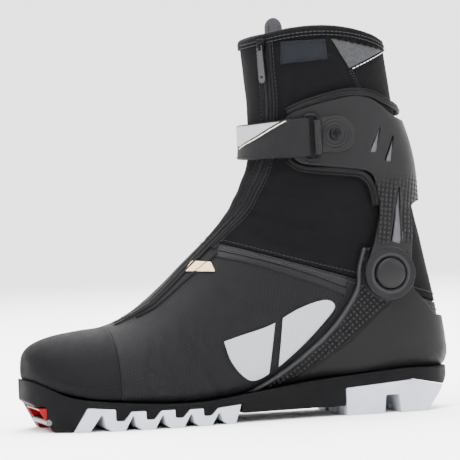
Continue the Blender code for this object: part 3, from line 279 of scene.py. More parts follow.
def tube_faces(rings, sides, first=0, closed=False, ends=False):
    """Faces between rings of points that start at number first, and over both ends if asked."""
    faces = []
    for i in range(rings if closed else rings - 1):
        n = (i + 1) % rings
        for j in range(sides):
            k = (j + 1) % sides
            faces.append((i * sides + j, n * sides + j, n * sides + k, i * sides + k))
    if ends:
        faces.append(tuple(range(sides)))
        faces.append(tuple((rings - 1) * sides + j for j in reversed(range(sides))))
    return [tuple(first + corner for corner in face) for face in faces]


def mesh_object(name, points, faces, material, uv=None, smooth_angle=40.0):
    mesh = bpy.data.meshes.new(name)
    mesh.from_pydata((np.asarray(points) * MM).tolist(), [], [tuple(int(i) for i in f) for f in faces])
    if uv is not None:
        flat = (np.asarray(uv) * MM).astype(np.float32).ravel()
        mesh.uv_layers.new(name="fabric").data.foreach_set("uv", flat)
    mesh.materials.append(material)
    mesh.shade_smooth()
    mesh.set_sharp_from_angle(angle=math.radians(smooth_angle))
    return linked(name, mesh)


def grid_object(name, points, material, ring=False, smooth_angle=60.0):
    """Quads over a grid of points [rows, columns], with a UV map in metres along and across."""
    rows, columns = points.shape[:2]
    closed = np.concatenate([points, points[:, :1]], axis=1) if ring else points
    across = np.linalg.norm(np.diff(closed, axis=1), axis=2)
    across = np.concatenate([np.zeros((rows, 1)), np.cumsum(across, axis=1)], axis=1)
    along = np.linalg.norm(np.diff(closed, axis=0), axis=2)
    along = np.concatenate([np.zeros((1, closed.shape[1])), np.cumsum(along, axis=0)], axis=0)
    maps = np.stack([across, along], axis=2)
    i, j = np.meshgrid(np.arange(rows - 1), np.arange(closed.shape[1] - 1), indexing="ij")
    i, j = i.ravel(), j.ravel()
    k = (j + 1) % columns
    faces = np.stack([i * columns + j, i * columns + k, (i + 1) * columns + k, (i + 1) * columns + j], axis=1)
    uv = np.stack([maps[i, j], maps[i, j + 1], maps[i + 1, j + 1], maps[i + 1, j]], axis=1)
    return mesh_object(name, points.reshape(-1, 3), faces, material, uv.reshape(-1, 2), smooth_angle)


def thicken(obj, thickness, side=INWARDS, rounded=0.0):
    """Give a surface its thickness on one side or on both, with its rim rounded if asked."""
    solid = obj.modifiers.new("thickness", "SOLIDIFY")
    solid.thickness = thickness * MM
    solid.offset = side
    if rounded:
        bevel = obj.modifiers.new("edge", "BEVEL")
        bevel.width = rounded * MM
        bevel.segments = 2
        bevel.limit_method = "ANGLE"
        bevel.angle_limit = math.radians(50)
    return obj


def frames(path, normals):
    """Unit vectors across a path and out of the surface."""
    ahead = np.gradient(path, axis=0)
    ahead /= np.linalg.norm(ahead, axis=1, keepdims=True)
    across = np.cross(ahead, normals)
    across /= np.linalg.norm(across, axis=1, keepdims=True)
    return across, np.cross(across, ahead)


def sweep(name, path, normals, profile, material, closed=False):
    """A profile of (across, out) points carried along a path that lies on a surface."""
    if closed:
        path, normals = (np.concatenate([rows[-1:], rows, rows[:1]]) for rows in (path, normals))
    across, out = frames(path, normals)
    profile = np.asarray(profile, float)
    points = path[:, None] + across[:, None] * profile[None, :, :1] + out[:, None] * profile[None, :, 1:]
    if closed:
        points = points[1:-1]
    faces = tube_faces(*points.shape[:2], closed=closed, ends=not closed)
    return mesh_object(name, points.reshape(-1, 3), faces, material)


def round_profile(radius_across, radius_out, sides=12, lift=0.0):
    angles = -np.arange(sides) * 2 * math.pi / sides
    return np.stack([radius_across * np.cos(angles), lift + radius_out * np.sin(angles)], axis=1)


def stitches(name, path, normals, material, length=2.2, gap=0.9, radius=0.28):
    """A row of thread stitches along a path, each a small bead that dips into the cloth at its ends."""
    line = even(np.concatenate([path, normals], axis=1), 0.4)
    distance = travelled(line[:, :3])
    sides, rings = 6, 5
    swell = np.sin(np.linspace(0.25, math.pi - 0.25, rings))
    points, faces = [], []
    for start in np.arange(gap, distance[-1] - length, length + gap):
        bead = at_distance(line, distance, np.linspace(start, start + length, rings))
        across, up = frames(bead[:, :3], bead[:, 3:])
        faces += tube_faces(rings, sides, len(points), ends=True)
        for r in range(rings):
            for a in np.arange(sides) * 2 * math.pi / sides:
                around = across[r] * math.cos(a) + up[r] * (math.sin(a) + swell[r])
                points.append(bead[r, :3] + radius * around)
    return mesh_object(name, points, faces, material, smooth_angle=80.0)


def solid(name, points, faces):
    """A closed mesh with its faces turned outwards, to be cut or to cut with."""
    mesh = bpy.data.meshes.new(name)
    mesh.from_pydata((np.asarray(points) * MM).tolist(), [], faces)
    shape = bmesh.new()
    shape.from_mesh(mesh)
    bmesh.ops.recalc_face_normals(shape, faces=shape.faces)
    shape.to_mesh(mesh)
    shape.free()
    return linked(name, mesh)


def prism(name, outline, y_from, y_to):
    """A closed side-view outline extruded across the boot."""
    points = [(x, y, z) for y in (y_from, y_to) for x, z in outline]
    return solid(name, points, tube_faces(2, len(outline), ends=True))


def rod(name, radius, y_from, y_to, centre=PIVOT, sides=64):
    return prism(name, arc(centre, radius, 0.0, 360.0, sides)[:-1], y_from, y_to)


def boolean(obj, cutter, operation="DIFFERENCE"):
    modifier = obj.modifiers.new(operation.lower(), "BOOLEAN")
    modifier.operation = operation
    modifier.object = cutter
    if cutter not in CUTTERS:
        CUTTERS.append(cutter)


def settle(obj):
    """Make an object's modifiers part of its mesh."""
    bpy.context.view_layer.update()
    mesh = bpy.data.meshes.new_from_object(obj.evaluated_get(bpy.context.evaluated_depsgraph_get()))
    obj.modifiers.clear()
    obj.data = mesh


def vertices(obj):
    co = np.empty(len(obj.data.vertices) * 3)
    obj.data.vertices.foreach_get("co", co)
    return co.reshape(-1, 3) / MM


def vertex_normals(obj):
    normal = np.empty(len(obj.data.vertices) * 3)
    obj.data.vertices.foreach_get("normal", normal)
    return normal.reshape(-1, 3)


def move_vertices(obj, points):
    obj.data.vertices.foreach_set("co", (points * MM).ravel())
    obj.data.update()


def soften(obj, voxel, passes=4):
    """Remesh a hard-edged solid and relax it, so that its edges are rounded like a moulding's."""
    remesh = obj.modifiers.new("remesh", "REMESH")
    remesh.mode = "VOXEL"
    remesh.voxel_size = voxel * MM
    relax = obj.modifiers.new("relax", "SMOOTH")
    relax.iterations = passes
    settle(obj)
    obj.data.shade_smooth()
    return obj


def copy_of(node, name, material):
    """A new piece that starts from a CAD node's own mesh."""
    mesh = frame["nodes"][node].data.copy()
    mesh.materials.clear()
    mesh.materials.append(material)
    return linked(name, mesh)


def finish(obj, nodes):
    if nodes:
        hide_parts(*nodes)
    return obj


def place(obj, body, slot, *nodes):
    """Ride on a body and stand for CAD nodes, which it hides; slot is not used."""
    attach(obj, body)
    return finish(obj, nodes)


def bend(obj, slot, *nodes):
    """Bake the object's transform into its mesh and stand for CAD nodes, which it hides."""
    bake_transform(obj)
    return finish(obj, nodes)


# ---------------------------------------------------------------- materials
def rgb(hex_code):
    """Linear colour of an sRGB hex code."""
    parts = [int(hex_code[k:k + 2], 16) / 255 for k in (0, 2, 4)]
    return tuple(c / 12.92 if c <= 0.04045 else ((c + 0.055) / 1.055) ** 2.4 for c in parts)


class Recipe:
    """A material under construction, with short ways to add the nodes that the finishes share."""

    def __init__(self, name, color, roughness, metallic=0.0, coordinates="Object"):
        self.material = bpy.data.materials.new(name)
        self.material.use_nodes = True
        self.shader = self.material.node_tree.nodes["Principled BSDF"]
        self.color = (*rgb(color), 1.0)
        self.material.diffuse_color = self.color
        self.set(Base_Color=self.color, Roughness=roughness, Metallic=metallic)
        if coordinates == "fabric":
            source = self.node("UVMap")
            source.uv_map = "fabric"
            self.place = source.outputs["UV"]
        else:
            self.place = self.node("TexCoord").outputs["Object"]
        self.normal = None
        self.tinted = None

    def join(self, node, inputs):
        """Set a node's inputs to numbers, or link them to sockets; _ in a name stands for a space."""
        for name, value in inputs.items():
            socket = node.inputs[name.replace("_", " ")]
            if isinstance(value, bpy.types.NodeSocket):
                self.material.node_tree.links.new(value, socket)
            else:
                socket.default_value = value
        return node

    def node(self, kind, **inputs):
        return self.join(self.material.node_tree.nodes.new("ShaderNode" + kind), inputs)

    def set(self, **values):
        self.join(self.shader, values)
        return self

    def math(self, operation, a, b=0.0, clamp=False):
        node = self.node("Math")
        node.operation = operation
        node.use_clamp = clamp
        for socket, value in zip(node.inputs, (a, b)):
            if isinstance(value, (int, float)):
                socket.default_value = value
            else:
                self.material.node_tree.links.new(value, socket)
        return node.outputs[0]

    def noise(self, size, detail=3.0, stretch=None):
        """Noise with features about size millimetres across."""
        place = self.place
        if stretch:
            node = self.node("VectorMath")
            node.operation = "MULTIPLY"
            node.inputs[1].default_value = stretch
            self.material.node_tree.links.new(place, node.inputs[0])
            place = node.outputs[0]
        return self.node("TexNoise", Scale=1.0 / (size * MM), Detail=detail, Vector=place).outputs["Fac"]

    def cells(self, size):
        return self.node("TexVoronoi", Scale=1.0 / (size * MM), Vector=self.place).outputs["Distance"]

    def axes(self):
        x, y, _ = self.node("SeparateXYZ", Vector=self.place).outputs
        return x, y

    def wave(self, value, pitch, shift=0.0):
        """Sine of a coordinate, one period for each pitch millimetres, from 0 to 1."""
        turned = self.math("MULTIPLY", value, 2 * math.pi / (pitch * MM))
        if shift:
            turned = self.math("ADD", turned, shift)
        return self.math("ADD", self.math("MULTIPLY", self.math("SINE", turned), 0.5), 0.5)

    def weave(self, pitch):
        """Over-and-under threads in both directions."""
        x, y = self.axes()
        return self.math("MAXIMUM", self.math("MULTIPLY", self.wave(x, pitch), self.wave(y, pitch * 2)),
                         self.math("MULTIPLY", self.wave(y, pitch), self.wave(x, pitch * 2, math.pi)))

    def ribs(self, pitch, sharp):
        """Thin raised lines in both directions, as in ripstop cloth."""
        lines = [self.math("POWER", self.wave(axis, pitch), sharp) for axis in self.axes()]
        return self.math("MAXIMUM", *lines)

    def bump(self, height, depth):
        """Raise the surface by height times depth millimetres, on top of earlier bumps."""
        node = self.node("Bump", Distance=depth * MM, Height=height)
        if self.normal is not None:
            self.join(node, {"Normal": self.normal})
        self.normal = node.outputs["Normal"]
        return self.set(Normal=self.normal)

    def tint(self, factor, color, low=0.35, high=0.65):
        """Blend the colour so far towards another, from none at a factor of low to all of it at high."""
        share = self.node("MapRange", From_Min=low, From_Max=high, Value=factor)
        blend = self.node("Mix")
        blend.data_type = "RGBA"
        sockets = {socket.name: socket for socket in blend.inputs if socket.enabled}
        sockets["A"].default_value = self.color
        sockets["B"].default_value = (*rgb(color), 1.0)
        self.material.node_tree.links.new(share.outputs[0], sockets["Factor"])
        if self.tinted is not None:
            self.material.node_tree.links.new(self.tinted, sockets["A"])
        self.tinted = next(socket for socket in blend.outputs if socket.enabled)
        return self.set(Base_Color=self.tinted)

    def rough(self, factor, low, high):
        return self.set(Roughness=self.node("MapRange", To_Min=low, To_Max=high, Value=factor).outputs[0])


def softshell_finish(name, color, lift):
    recipe = Recipe(name, color, 0.88, coordinates="fabric")
    weave = recipe.weave(0.9)
    recipe.set(Sheen_Weight=0.01, Sheen_Roughness=0.5, Specular_IOR_Level=0.04)
    recipe.tint(weave, lift, 0.1, 0.9)
    return recipe.bump(weave, 0.10).bump(recipe.noise(7.0, 4.0), 0.5).material


def ripstop_finish():
    recipe = Recipe("ripstop", "0d0d0e", 0.6, coordinates="fabric")
    grid = recipe.ribs(2.4, 14.0)
    recipe.set(Sheen_Weight=0.01, Specular_IOR_Level=0.06)
    recipe.tint(grid, "19191b", 0.2, 0.9)
    recipe.rough(recipe.noise(9.0), 0.5, 0.72)
    return recipe.bump(recipe.weave(0.55), 0.05).bump(grid, 0.09).material


def toe_cap_finish():
    recipe = Recipe("toe_coated_cloth", "0d0d0e", 0.62, coordinates="fabric")
    grid = recipe.ribs(2.4, 14.0)
    recipe.set(Specular_IOR_Level=0.035)
    recipe.tint(grid, "151517", 0.2, 0.9)
    recipe.rough(recipe.noise(6.0), 0.5, 0.7)
    return recipe.bump(recipe.weave(0.55), 0.06).bump(grid, 0.05).bump(recipe.noise(1.3), 0.04).material


def band_finish(name, dotted):
    recipe = Recipe(name, "131314", 0.5, coordinates="fabric")
    recipe.set(Specular_IOR_Level=0.09)
    if dotted:
        dots = recipe.ribs(1.5, 5.0)
        recipe.tint(dots, "252528", 0.4, 0.95).bump(dots, 0.18)
    return recipe.bump(recipe.noise(0.8), 0.06).material


def lining_finish():
    recipe = Recipe("lining_mesh", "0f0f11", 0.95, coordinates="fabric")
    holes = recipe.ribs(1.7, 2.0)
    recipe.set(Sheen_Weight=0.08, Sheen_Roughness=0.4, Specular_IOR_Level=0.1)
    recipe.tint(holes, "1e1e21", 0.2, 0.8)
    return recipe.bump(holes, 0.35).bump(recipe.noise(4.0), 0.5).material


def plastic_finish(name, color, low, high, shine=0.11):
    """Moulded plastic: fine spark grain, slightly uneven gloss, painted shade in the hollows and a painted
    highlight on the raised faces.
    """
    recipe = Recipe(name, color, (low + high) / 2).set(Specular_IOR_Level=shine)
    recipe.rough(recipe.noise(14.0, 5.0), low, high)
    # painted shade: the colour goes darker where the relief attribute is sunk into a hollow; painted
    # highlight: it goes paler where the relief is raised
    relief_for_painted_light = recipe.node("Attribute")
    relief_for_painted_light.attribute_name = "relief"
    for gain, painted_light_tone in ((-2.2, "010101"), (3.0, "262628")):
        recipe.tint(recipe.math("MULTIPLY", relief_for_painted_light.outputs["Fac"], gain, clamp=True), painted_light_tone, 0.0, 1.0)
    return recipe.bump(recipe.noise(0.5), 0.035).bump(recipe.noise(0.18, 1.0), 0.02).material


def rubber_finish(name, color, lift, roughness=0.6, scuff=0.0):
    recipe = Recipe(name, color, roughness)
    recipe.set(Specular_IOR_Level=0.055)
    recipe.tint(recipe.noise(24.0, 6.0), lift, 0.45, 0.75)
    recipe.rough(recipe.noise(8.0, 4.0), roughness - 0.1, roughness + 0.12)
    if scuff:
        recipe.bump(recipe.noise(0.9, 2.0, (1.0, 1.0, 5.0)), scuff)
    return recipe.bump(recipe.noise(0.45), 0.05).material


def steel_finish(name, color="57575a", roughness=0.36):
    """Brushed steel: fine scratches along one direction and a little uneven gloss."""
    recipe = Recipe(name, color, roughness, 1.0)
    scratches = recipe.noise(0.25, 2.0, (0.12, 1.0, 1.0))
    recipe.rough(recipe.noise(5.0, 4.0), roughness - 0.08, roughness + 0.14)
    return recipe.bump(scratches, 0.02).material


def web_finish(name, color, lift):
    recipe = Recipe(name, color, 0.6, coordinates="fabric")
    x, y = recipe.axes()
    rows = recipe.math("MULTIPLY", recipe.wave(x, 0.8), recipe.wave(y, 1.3))
    recipe.set(Sheen_Weight=0.01, Specular_IOR_Level=0.08)
    recipe.tint(rows, lift, 0.1, 0.9)
    return recipe.bump(rows, 0.09).bump(recipe.noise(11.0), 0.3).material


def reflective_finish():
    """Retroreflective film: small cells under a glossy layer."""
    recipe = Recipe("reflective_film", "232325", 0.4, coordinates="fabric")
    cells = recipe.cells(1.4)
    recipe.tint(cells, "303033", 0.2, 0.7)
    return recipe.set(Specular_IOR_Level=0.15).bump(cells, 0.05).material


def print_finish():
    recipe = Recipe("silver_print", "7c7e80", 0.45, coordinates="fabric")
    dots = recipe.ribs(1.3, 3.0)
    recipe.tint(dots, "95979a", 0.3, 0.9)
    return recipe.bump(dots, 0.1).bump(recipe.noise(5.0), 0.15).material


def woven_label_finish(name, color, lift):
    recipe = Recipe(name, color, 0.7, coordinates="fabric")
    weave = recipe.weave(0.5)
    recipe.set(Sheen_Weight=0.02, Specular_IOR_Level=0.1)
    recipe.tint(weave, lift, 0.1, 0.9)
    return recipe.bump(weave, 0.08).material


SOFTSHELL = softshell_finish("softshell_knit", "080809", "0f0f10")
PIPING = softshell_finish("piping_knit", "111113", "1c1c1f")
RIPSTOP = ripstop_finish()
TOE_CLOTH = toe_cap_finish()
BAND_SMOOTH = band_finish("band_smooth", False)
BAND_DOTTED = band_finish("band_dotted", True)
LINING_MESH = lining_finish()
SHELL = plastic_finish("shell_plastic_grained", "111112", 0.38, 0.54, 0.10)
CHASSIS_PLASTIC = plastic_finish("chassis_plastic_grained", "0f0f10", 0.38, 0.54, 0.08)
CAP_PLASTIC = plastic_finish("cap_plastic", "131314", 0.32, 0.45, 0.12)
INSERT = plastic_finish("insert_plastic", "3e3e41", 0.40, 0.55)
LIP = rubber_finish("lip_rubber_soft", "0d0d0e", "151516", 0.5)
SOLE = rubber_finish("sole_rubber_black", "070708", "0c0c0d", 0.55, 0.12)
TREAD = rubber_finish("tread_rubber_white", "a6a8b0", "9a9ca6", 0.55, 0.08)
RED = plastic_finish("recess_gloss_red", "6e0407", 0.34, 0.46, 0.10)
STEEL = steel_finish("bar_steel")
DARK_STEEL = steel_finish("blackened_steel", "19191b", 0.38)
WEB = web_finish("strap_webbing", "0f0f10", "161618")
PATCH_WEB = web_finish("strap_patch_cloth", "8a8a8d", "9c9ca0")
CREAM = web_finish("strap_line_cloth", "cfc8b2", "ddd8c6")
REFLECTIVE = reflective_finish()
SILVER = print_finish()
LABEL = woven_label_finish("label_cloth", "0a0b0f", "14161d")
TAG = woven_label_finish("tag_cloth", "c4a67c", "d6bd96")
ZIP_TAPE = web_finish("zip_tape_cloth", "0a0a0b", "121214")
ZIP_TEETH = plastic_finish("zip_coil_nylon", "111113", 0.3, 0.42)
PULLER = plastic_finish("puller_plastic", "323235", 0.35, 0.5)
TAB_WEB = web_finish("pull_tab_webbing", "3a3a3d", "4c4c50")
BOARD = rubber_finish("board_fibre", "8a7858", "9a8868", 0.9)
THREAD_DARK = plastic_finish("thread_dark", "0f0f10", 0.5, 0.65)
THREAD_GREY = plastic_finish("thread_grey", "2a2a2d", 0.5, 0.65)
THREAD_WHITE = plastic_finish("thread_white", "c9c9cc", 0.5, 0.65)


# ---------------------------------------------------------------- the sewn upper
def fold_wave(distance, width, depth):
    """Depth of one soft fold across a line, a shallow valley with a rise on each side."""
    t = distance / width
    return depth * (-np.exp(-t * t) + 0.55 * np.exp(-(t - 1.7) ** 2) + 0.55 * np.exp(-(t + 1.7) ** 2))


# soft creases in side view, each a short line with its width and depth
CREASES = (
    ((-46.0, 60.0), (-22.7, 19.9), 2.8, 1.25),
    ((-70.0, 56.0), (-71.8, 19.4), 2.6, 0.9),
    ((-60.5, 60.0), (-55.3, 24.6), 3.0, 1.1),
    ((-36.0, 72.0), (-30.0, 50.0), 2.6, 0.8),
    ((-18.0, 90.0), (22.0, 72.0), 3.8, 0.5),
)
ANKLE_CREASES = (
    ((6.0, 146.0), (64.0, 128.0), 4.0, 0.9),
    ((12.0, 160.0), (80.0, 150.0), 4.4, 0.8),
    ((2.0, 134.0), (60.0, 112.0), 3.6, 0.6),
)


def creasing(points, creases):
    """How far each point is pushed in or out by the creases, all in side view."""
    total = np.zeros(points.shape[:-1])
    for start, end, width, depth in creases:
        a, b = np.array(start), np.array(end)
        along = (b - a) / np.linalg.norm(b - a)
        normal = np.array([-along[1], along[0]])
        flat = points[..., [0, 2]] - a
        reach = flat @ along / np.linalg.norm(b - a)
        fade = ease(-0.25, 0.2, reach) * (1 - ease(0.75, 1.25, reach))
        bowed = flat @ normal + 2.5 * np.sin(math.pi * np.clip(reach, 0, 1))
        total += fold_wave(bowed, width, depth) * fade
    return total


def cloth_rise(points):
    """Gentle unevenness of sewn cloth, so that no panel is a perfect surface."""
    x, y, z = points[..., 0], points[..., 1], points[..., 2]
    wide = np.sin(x / 17.0 + 0.9 * np.sin(z / 13.0)) * np.sin(z / 15.0 + 0.6 * np.sin(y / 11.0))
    small = np.sin(x / 6.1 + 1.7 * np.sin(z / 7.3)) * np.sin(z / 5.7 + y / 9.0)
    return 0.22 * wide + 0.07 * small


def panel_grid(first, last, rows, offset=0.0, creases=()):
    """Skin points all round between two stations, which may differ from column to column, with creases."""
    s = first + (last - first) * np.linspace(0.0, 1.0, rows)[:, None] + 0.0 * ALL_COLUMNS
    u = np.broadcast_to(ALL_COLUMNS, s.shape)
    flat = skin(s, u)
    return skin(s, u, offset + creasing(flat, creases) + cloth_rise(flat) + fullness(flat, skin_normal(s, u)))


ALL_COLUMNS = np.arange(COLUMNS * 5) / 5.0
NOSE_RISE = 0.5           # how far the tip of the toe cap stands past its first ring
CLOTH_THICKNESS = 2.0


def ring_piece(name, grid, material, thickness):
    return thicken(grid_object(name, grid, material, ring=True), thickness)


def build_upper():
    toe = panel_grid(0.0, TOE_SEAM, 44)
    centre = toe[0].mean(axis=0)
    forward = (centre - toe[4].mean(axis=0)) / np.linalg.norm(centre - toe[4].mean(axis=0))
    nose = [centre + (toe[0] - centre) * share + forward * NOSE_RISE * (1 - share * share)
            for share in (0.02, 0.3, 0.55, 0.8)]
    toe_piece = ring_piece("toe_cap_cloth", np.concatenate([nose, toe]), TOE_CLOTH, CLOTH_THICKNESS)
    place(toe_piece, "boot", "ripstop", "toe_cap")

    seam = seam_stations(ALL_COLUMNS)
    quarter = panel_grid(TOE_SEAM - 0.01, seam - 0.02, 96, 0.0, CREASES)
    quarter_piece = ring_piece("quarter_cloth", quarter, RIPSTOP, CLOTH_THICKNESS)
    place(quarter_piece, "boot", "ripstop", "quarter")

    shaft = panel_grid(seam + 0.02, LAST - 0.04, 120, 0.0, ANKLE_CREASES)
    shaft_piece = ring_piece("softshell_shaft", shaft, SOFTSHELL, CLOTH_THICKNESS)
    bend(shaft_piece, "softshell", "ankle_gaiter", "collar_shell")


def build_linings():
    foot_piece = ring_piece("foot_lining", panel_grid(1.0, 10.45, 50, -4.9), LINING_MESH, 2.6)
    place(foot_piece, "boot", "lining", "foot_liner")

    s = np.linspace(10.55, LAST - 0.25, 70)[:, None] + 0.0 * ALL_COLUMNS
    height = skin(s, ALL_COLUMNS)[..., 2]
    quilting = 0.5 * np.abs(np.sin(height / 16.0)) * (1 - ease(LAST - 1.2, LAST - 0.3, s))
    leg_piece = ring_piece("leg_lining", skin(s, ALL_COLUMNS, -5.2 + quilting), LINING_MESH, 2.3)
    bend(leg_piece, "lining", "ankle_liner", "collar_liner")

    s = np.linspace(6.5, 15.6, 70)[:, None]
    half_width = 3.8
    u = np.linspace(-half_width, half_width, 40)
    edge = np.abs(u) / half_width
    depth = -9.7 - 1.6 * ease(0.75, 1.0, edge) + 0.35 * np.cos(s * 5.0) * (1 - edge)
    tongue = thicken(grid_object("tongue_padded", skin(s, u, depth), LINING_MESH), 2.6, rounded=0.8)
    bend(tongue, "lining", "tongue")

    bed = skin(np.linspace(2.0, 10.0, 60)[:, None], np.linspace(HALF - 4.0, HALF + 4.0, 36), -9.0)
    cover = thicken(grid_object("footbed_cover", bed, LINING_MESH), 2.8, rounded=0.6)
    place(cover, "boot", "board", "footbed")


def on_skin(line, offset, medial=False, step=0.8):
    """Points and normals on the skin under a side-view line."""
    line = even(line, step)
    s, u = locate(line[:, 0], line[:, 1], medial)
    return skin(s, u, offset), skin_normal(s, u)


def sew(name, line, body, slot, *thread):
    """Stitches along a line of points and normals; thread is a material, then length, gap and radius."""
    place(stitches(name, *line, *thread), body, slot)


def build_rim():
    """Bound rim: a folded strip over the softshell and its lining, with two rows of stitches."""
    u = np.arange(0, COLUMNS, 0.2)
    s = np.full_like(u, LAST - 0.02)
    top, normal = skin(s, u), skin_normal(s, u)
    wobble = 0.12 * np.sin(u * 5.3) * np.sin(u * 1.7)
    profile = [(0.55, -5.0), (0.95, -4.4), (1.0, -2.5), (1.0, 0.0), (0.6, 1.3), (-0.6, 2.3), (-2.6, 2.8),
               (-4.8, 2.4), (-6.3, 1.2), (-6.9, -0.6), (-6.9, -4.6), (-6.4, -5.0), (-5.9, -4.4), (-5.9, -0.8),
               (-4.4, 0.6), (-1.8, 0.8), (-0.2, -0.2), (0.1, -2.5), (0.1, -4.8)]
    grid = np.stack([top + normal * (out + wobble)[:, None] + UP * up for out, up in profile], axis=1)
    piece = grid_object("collar_binding_tape", looped(grid), SOFTSHELL, ring=True)
    piece.data.flip_normals()
    place(piece, "cuff", "softshell", "collar_binding")
    for name, drop in (("rim_stitch_upper", 1.6), ("rim_stitch_lower", 4.0)):
        line = looped(top + normal * 1.05 - UP * drop), looped(normal)
        sew(name, line, "cuff", "softshell", THREAD_GREY)


def build_pull_tab():
    """Folded webbing loop sewn inside the collar on the medial side."""
    low, high = (np.array(corner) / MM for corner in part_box("pull_tab"))
    base = np.append((low + high)[:2] / 2, low[2])
    normal = skin_normal(np.array([17.6]), np.array([COLUMNS - 5.5]))[0] * (1.0, 1.0, 0.0)
    normal /= np.linalg.norm(normal)
    across = np.array([normal[1], -normal[0], 0.0])
    radius, half_thick, height = 7.6, 0.8, high[2] - low[2]
    z = height * np.linspace(0.0, 1.0, 60)
    above = np.maximum(z - height + radius, 0.0)
    reach = np.maximum(np.sqrt(np.clip(radius ** 2 - above ** 2, 0, None)), 0.4)
    angles = np.linspace(0, 2 * math.pi, 28, endpoint=False)
    wide, thick = (np.sign(v) * np.abs(v) ** power
                   for v, power in ((np.cos(angles), 0.35), (np.sin(angles), 0.6)))
    grid = (base + UP * z[:, None, None] + across * (wide[None, :, None] * reach[:, None, None])
            + normal * (thick[None, :, None] * half_thick))
    place(grid_object("pull_tab_webbing", grid, TAB_WEB, ring=True), "cuff", "puller_grey", "pull_tab")
    for k, side in enumerate((-1, 1)):
        edge = [base + across * side * 4.4 + UP * h - normal * 0.85 for h in (8.0, 18.0)]
        sew("pull_tab_stitch_" + str(k), (edge, [-normal, -normal]), "cuff", "puller_grey",
            THREAD_DARK, 1.6, 0.7, 0.22)


# ---------------------------------------------------------------- the zip
def zip_line(first, last, shift=0.0, offset=0.5, step=0.8):
    """Points and normals beside the zip: shift is the distance across it, to the rear."""
    s = np.linspace(first, last, 260)
    u = zip_column(s)
    path, normals = skin(s, u, offset), skin_normal(s, u)
    across, _ = frames(path, normals)
    rearwards = np.sign(across @ np.array([1.0, -0.3, 0.3]))[:, None]
    both = even(np.concatenate([path + across * rearwards * shift, normals], axis=1), step)
    return both[:, :3], both[:, 3:] / np.linalg.norm(both[:, 3:], axis=1, keepdims=True)


def build_zip():
    first, last = LAST - 0.1, 5.3
    tape = [(-4.4, 0.0), (-4.0, 0.55), (-1.9, 0.6), (-1.7, 0.3),
            (1.7, 0.3), (1.9, 0.6), (4.0, 0.55), (4.4, 0.0)]
    piece = sweep("zip_tape", *zip_line(first, last, 0.0, 0.35), tape[::-1], ZIP_TAPE)
    bend(piece, "zip_black", "zip_tape_upper", "zip_tape_lower")

    path, normals = zip_line(first, last, 0.0, 0.7, 0.62)
    across, out = frames(path, normals)
    ahead = np.cross(out, across)
    sides = 6
    points, faces = [], []
    for k in range(1, len(path) - 1):
        middle = path[k] + across[k] * (0.42 if k % 2 else -0.42) + out[k] * 0.25
        faces += tube_faces(4, sides, len(points), ends=True)
        for end, swell in ((-1.15, 0.55), (-0.85, 1.0), (0.85, 1.0), (1.15, 0.6)):
            for a in np.arange(sides) * 2 * math.pi / sides:
                round_out = ahead[k] * math.cos(a) * 0.36 + out[k] * math.sin(a) * 0.62
                points.append(middle + across[k] * end + round_out * swell)
    teeth = mesh_object("zip_coil", points, faces, ZIP_TEETH, smooth_angle=60.0)
    bend(teeth, "zip_black", "zip_teeth_upper", "zip_teeth_lower")

    line = zip_line(first, 9.0, 5.6, 0.2)
    bend(sweep("zip_piping", *line, round_profile(1.15, 0.85, 10, 0.2), PIPING), "softshell")
    for name, shift, last_station, lift, thread in (
            ("zip_stitch_rear", 7.9, 9.0, 0.25, THREAD_GREY),
            ("zip_stitch_front", -5.6, 12.0, 0.25, THREAD_GREY),
            ("zip_tape_stitch_rear", 3.3, 5.6, 1.0, THREAD_DARK),
            ("zip_tape_stitch_front", -3.3, 5.6, 1.0, THREAD_DARK)):
        line = zip_line(LAST - 0.15, last_station, shift, lift)
        bend(stitches(name, *line, thread, 2.0, 0.9, 0.24), "softshell")


# ---------------------------------------------------------------- bands, prints, labels
def creased(s, u, offset):
    """Points on the quarter's cloth with its folds, moved outwards by offset."""
    flat = skin(s, u)
    return skin(s, u, offset + creasing(flat, CREASES) + cloth_rise(flat))


def patch(name, low, high, medial, offset, thickness, material):
    """A piece of cloth on the skin between two side-view lines."""
    low = even(low, 1.0)
    distance = travelled(high)
    high = at_distance(high, distance, np.linspace(0.0, distance[-1], len(low)))
    t = np.linspace(0.0, 1.0, 10)[:, None, None]
    flat = low * (1 - t) + high * t
    s, u = locate(flat[..., 0], flat[..., 1], medial)
    grid = creased(s, u, offset)
    piece = grid_object(name, grid[::-1] if medial else grid, material)
    return thicken(piece, thickness, OUTWARDS, 0.2)


def outline_patch(name, outline, medial, offset, thickness, material, spacing=1.2):
    """A filled side-view outline laid on the skin, cut into a fine net of faces."""
    edge = even(looped(np.asarray(outline, float)), spacing * 0.6)[:-1]
    shape = bmesh.new()
    verts = [shape.verts.new((x, z, 0.0)) for x, z in edge]
    rim = [shape.edges.new(pair) for pair in zip(verts, verts[1:] + verts[:1])]
    bmesh.ops.triangle_fill(shape, edges=rim, use_beauty=True)
    for axis, (low, high) in enumerate(zip(edge.min(axis=0), edge.max(axis=0))):
        normal = Vector([float(axis == k) for k in range(3)])
        for value in np.arange(low + spacing, high, spacing):
            geometry = shape.verts[:] + shape.edges[:] + shape.faces[:]
            bmesh.ops.bisect_plane(shape, geom=geometry, plane_co=normal * value, plane_no=normal)
    bmesh.ops.remove_doubles(shape, verts=shape.verts, dist=1e-4)
    shape.verts.index_update()
    flat = np.array([(vert.co.x, vert.co.y) for vert in shape.verts])
    faces = [[vert.index for vert in face.verts] for face in shape.faces]
    shape.free()
    s, u = locate(flat[:, 0], flat[:, 1], medial)
    points, outward = creased(s, u, offset), skin_normal(s, u)
    for face in faces:
        a, b, c = points[face[:3]]
        if np.dot(np.cross(b - a, c - a), outward[face[0]]) < 0:
            face.reverse()
    uv = np.array([flat[i] for face in faces for i in face])
    return thicken(mesh_object(name, points, faces, material, uv, 60.0), thickness, OUTWARDS)


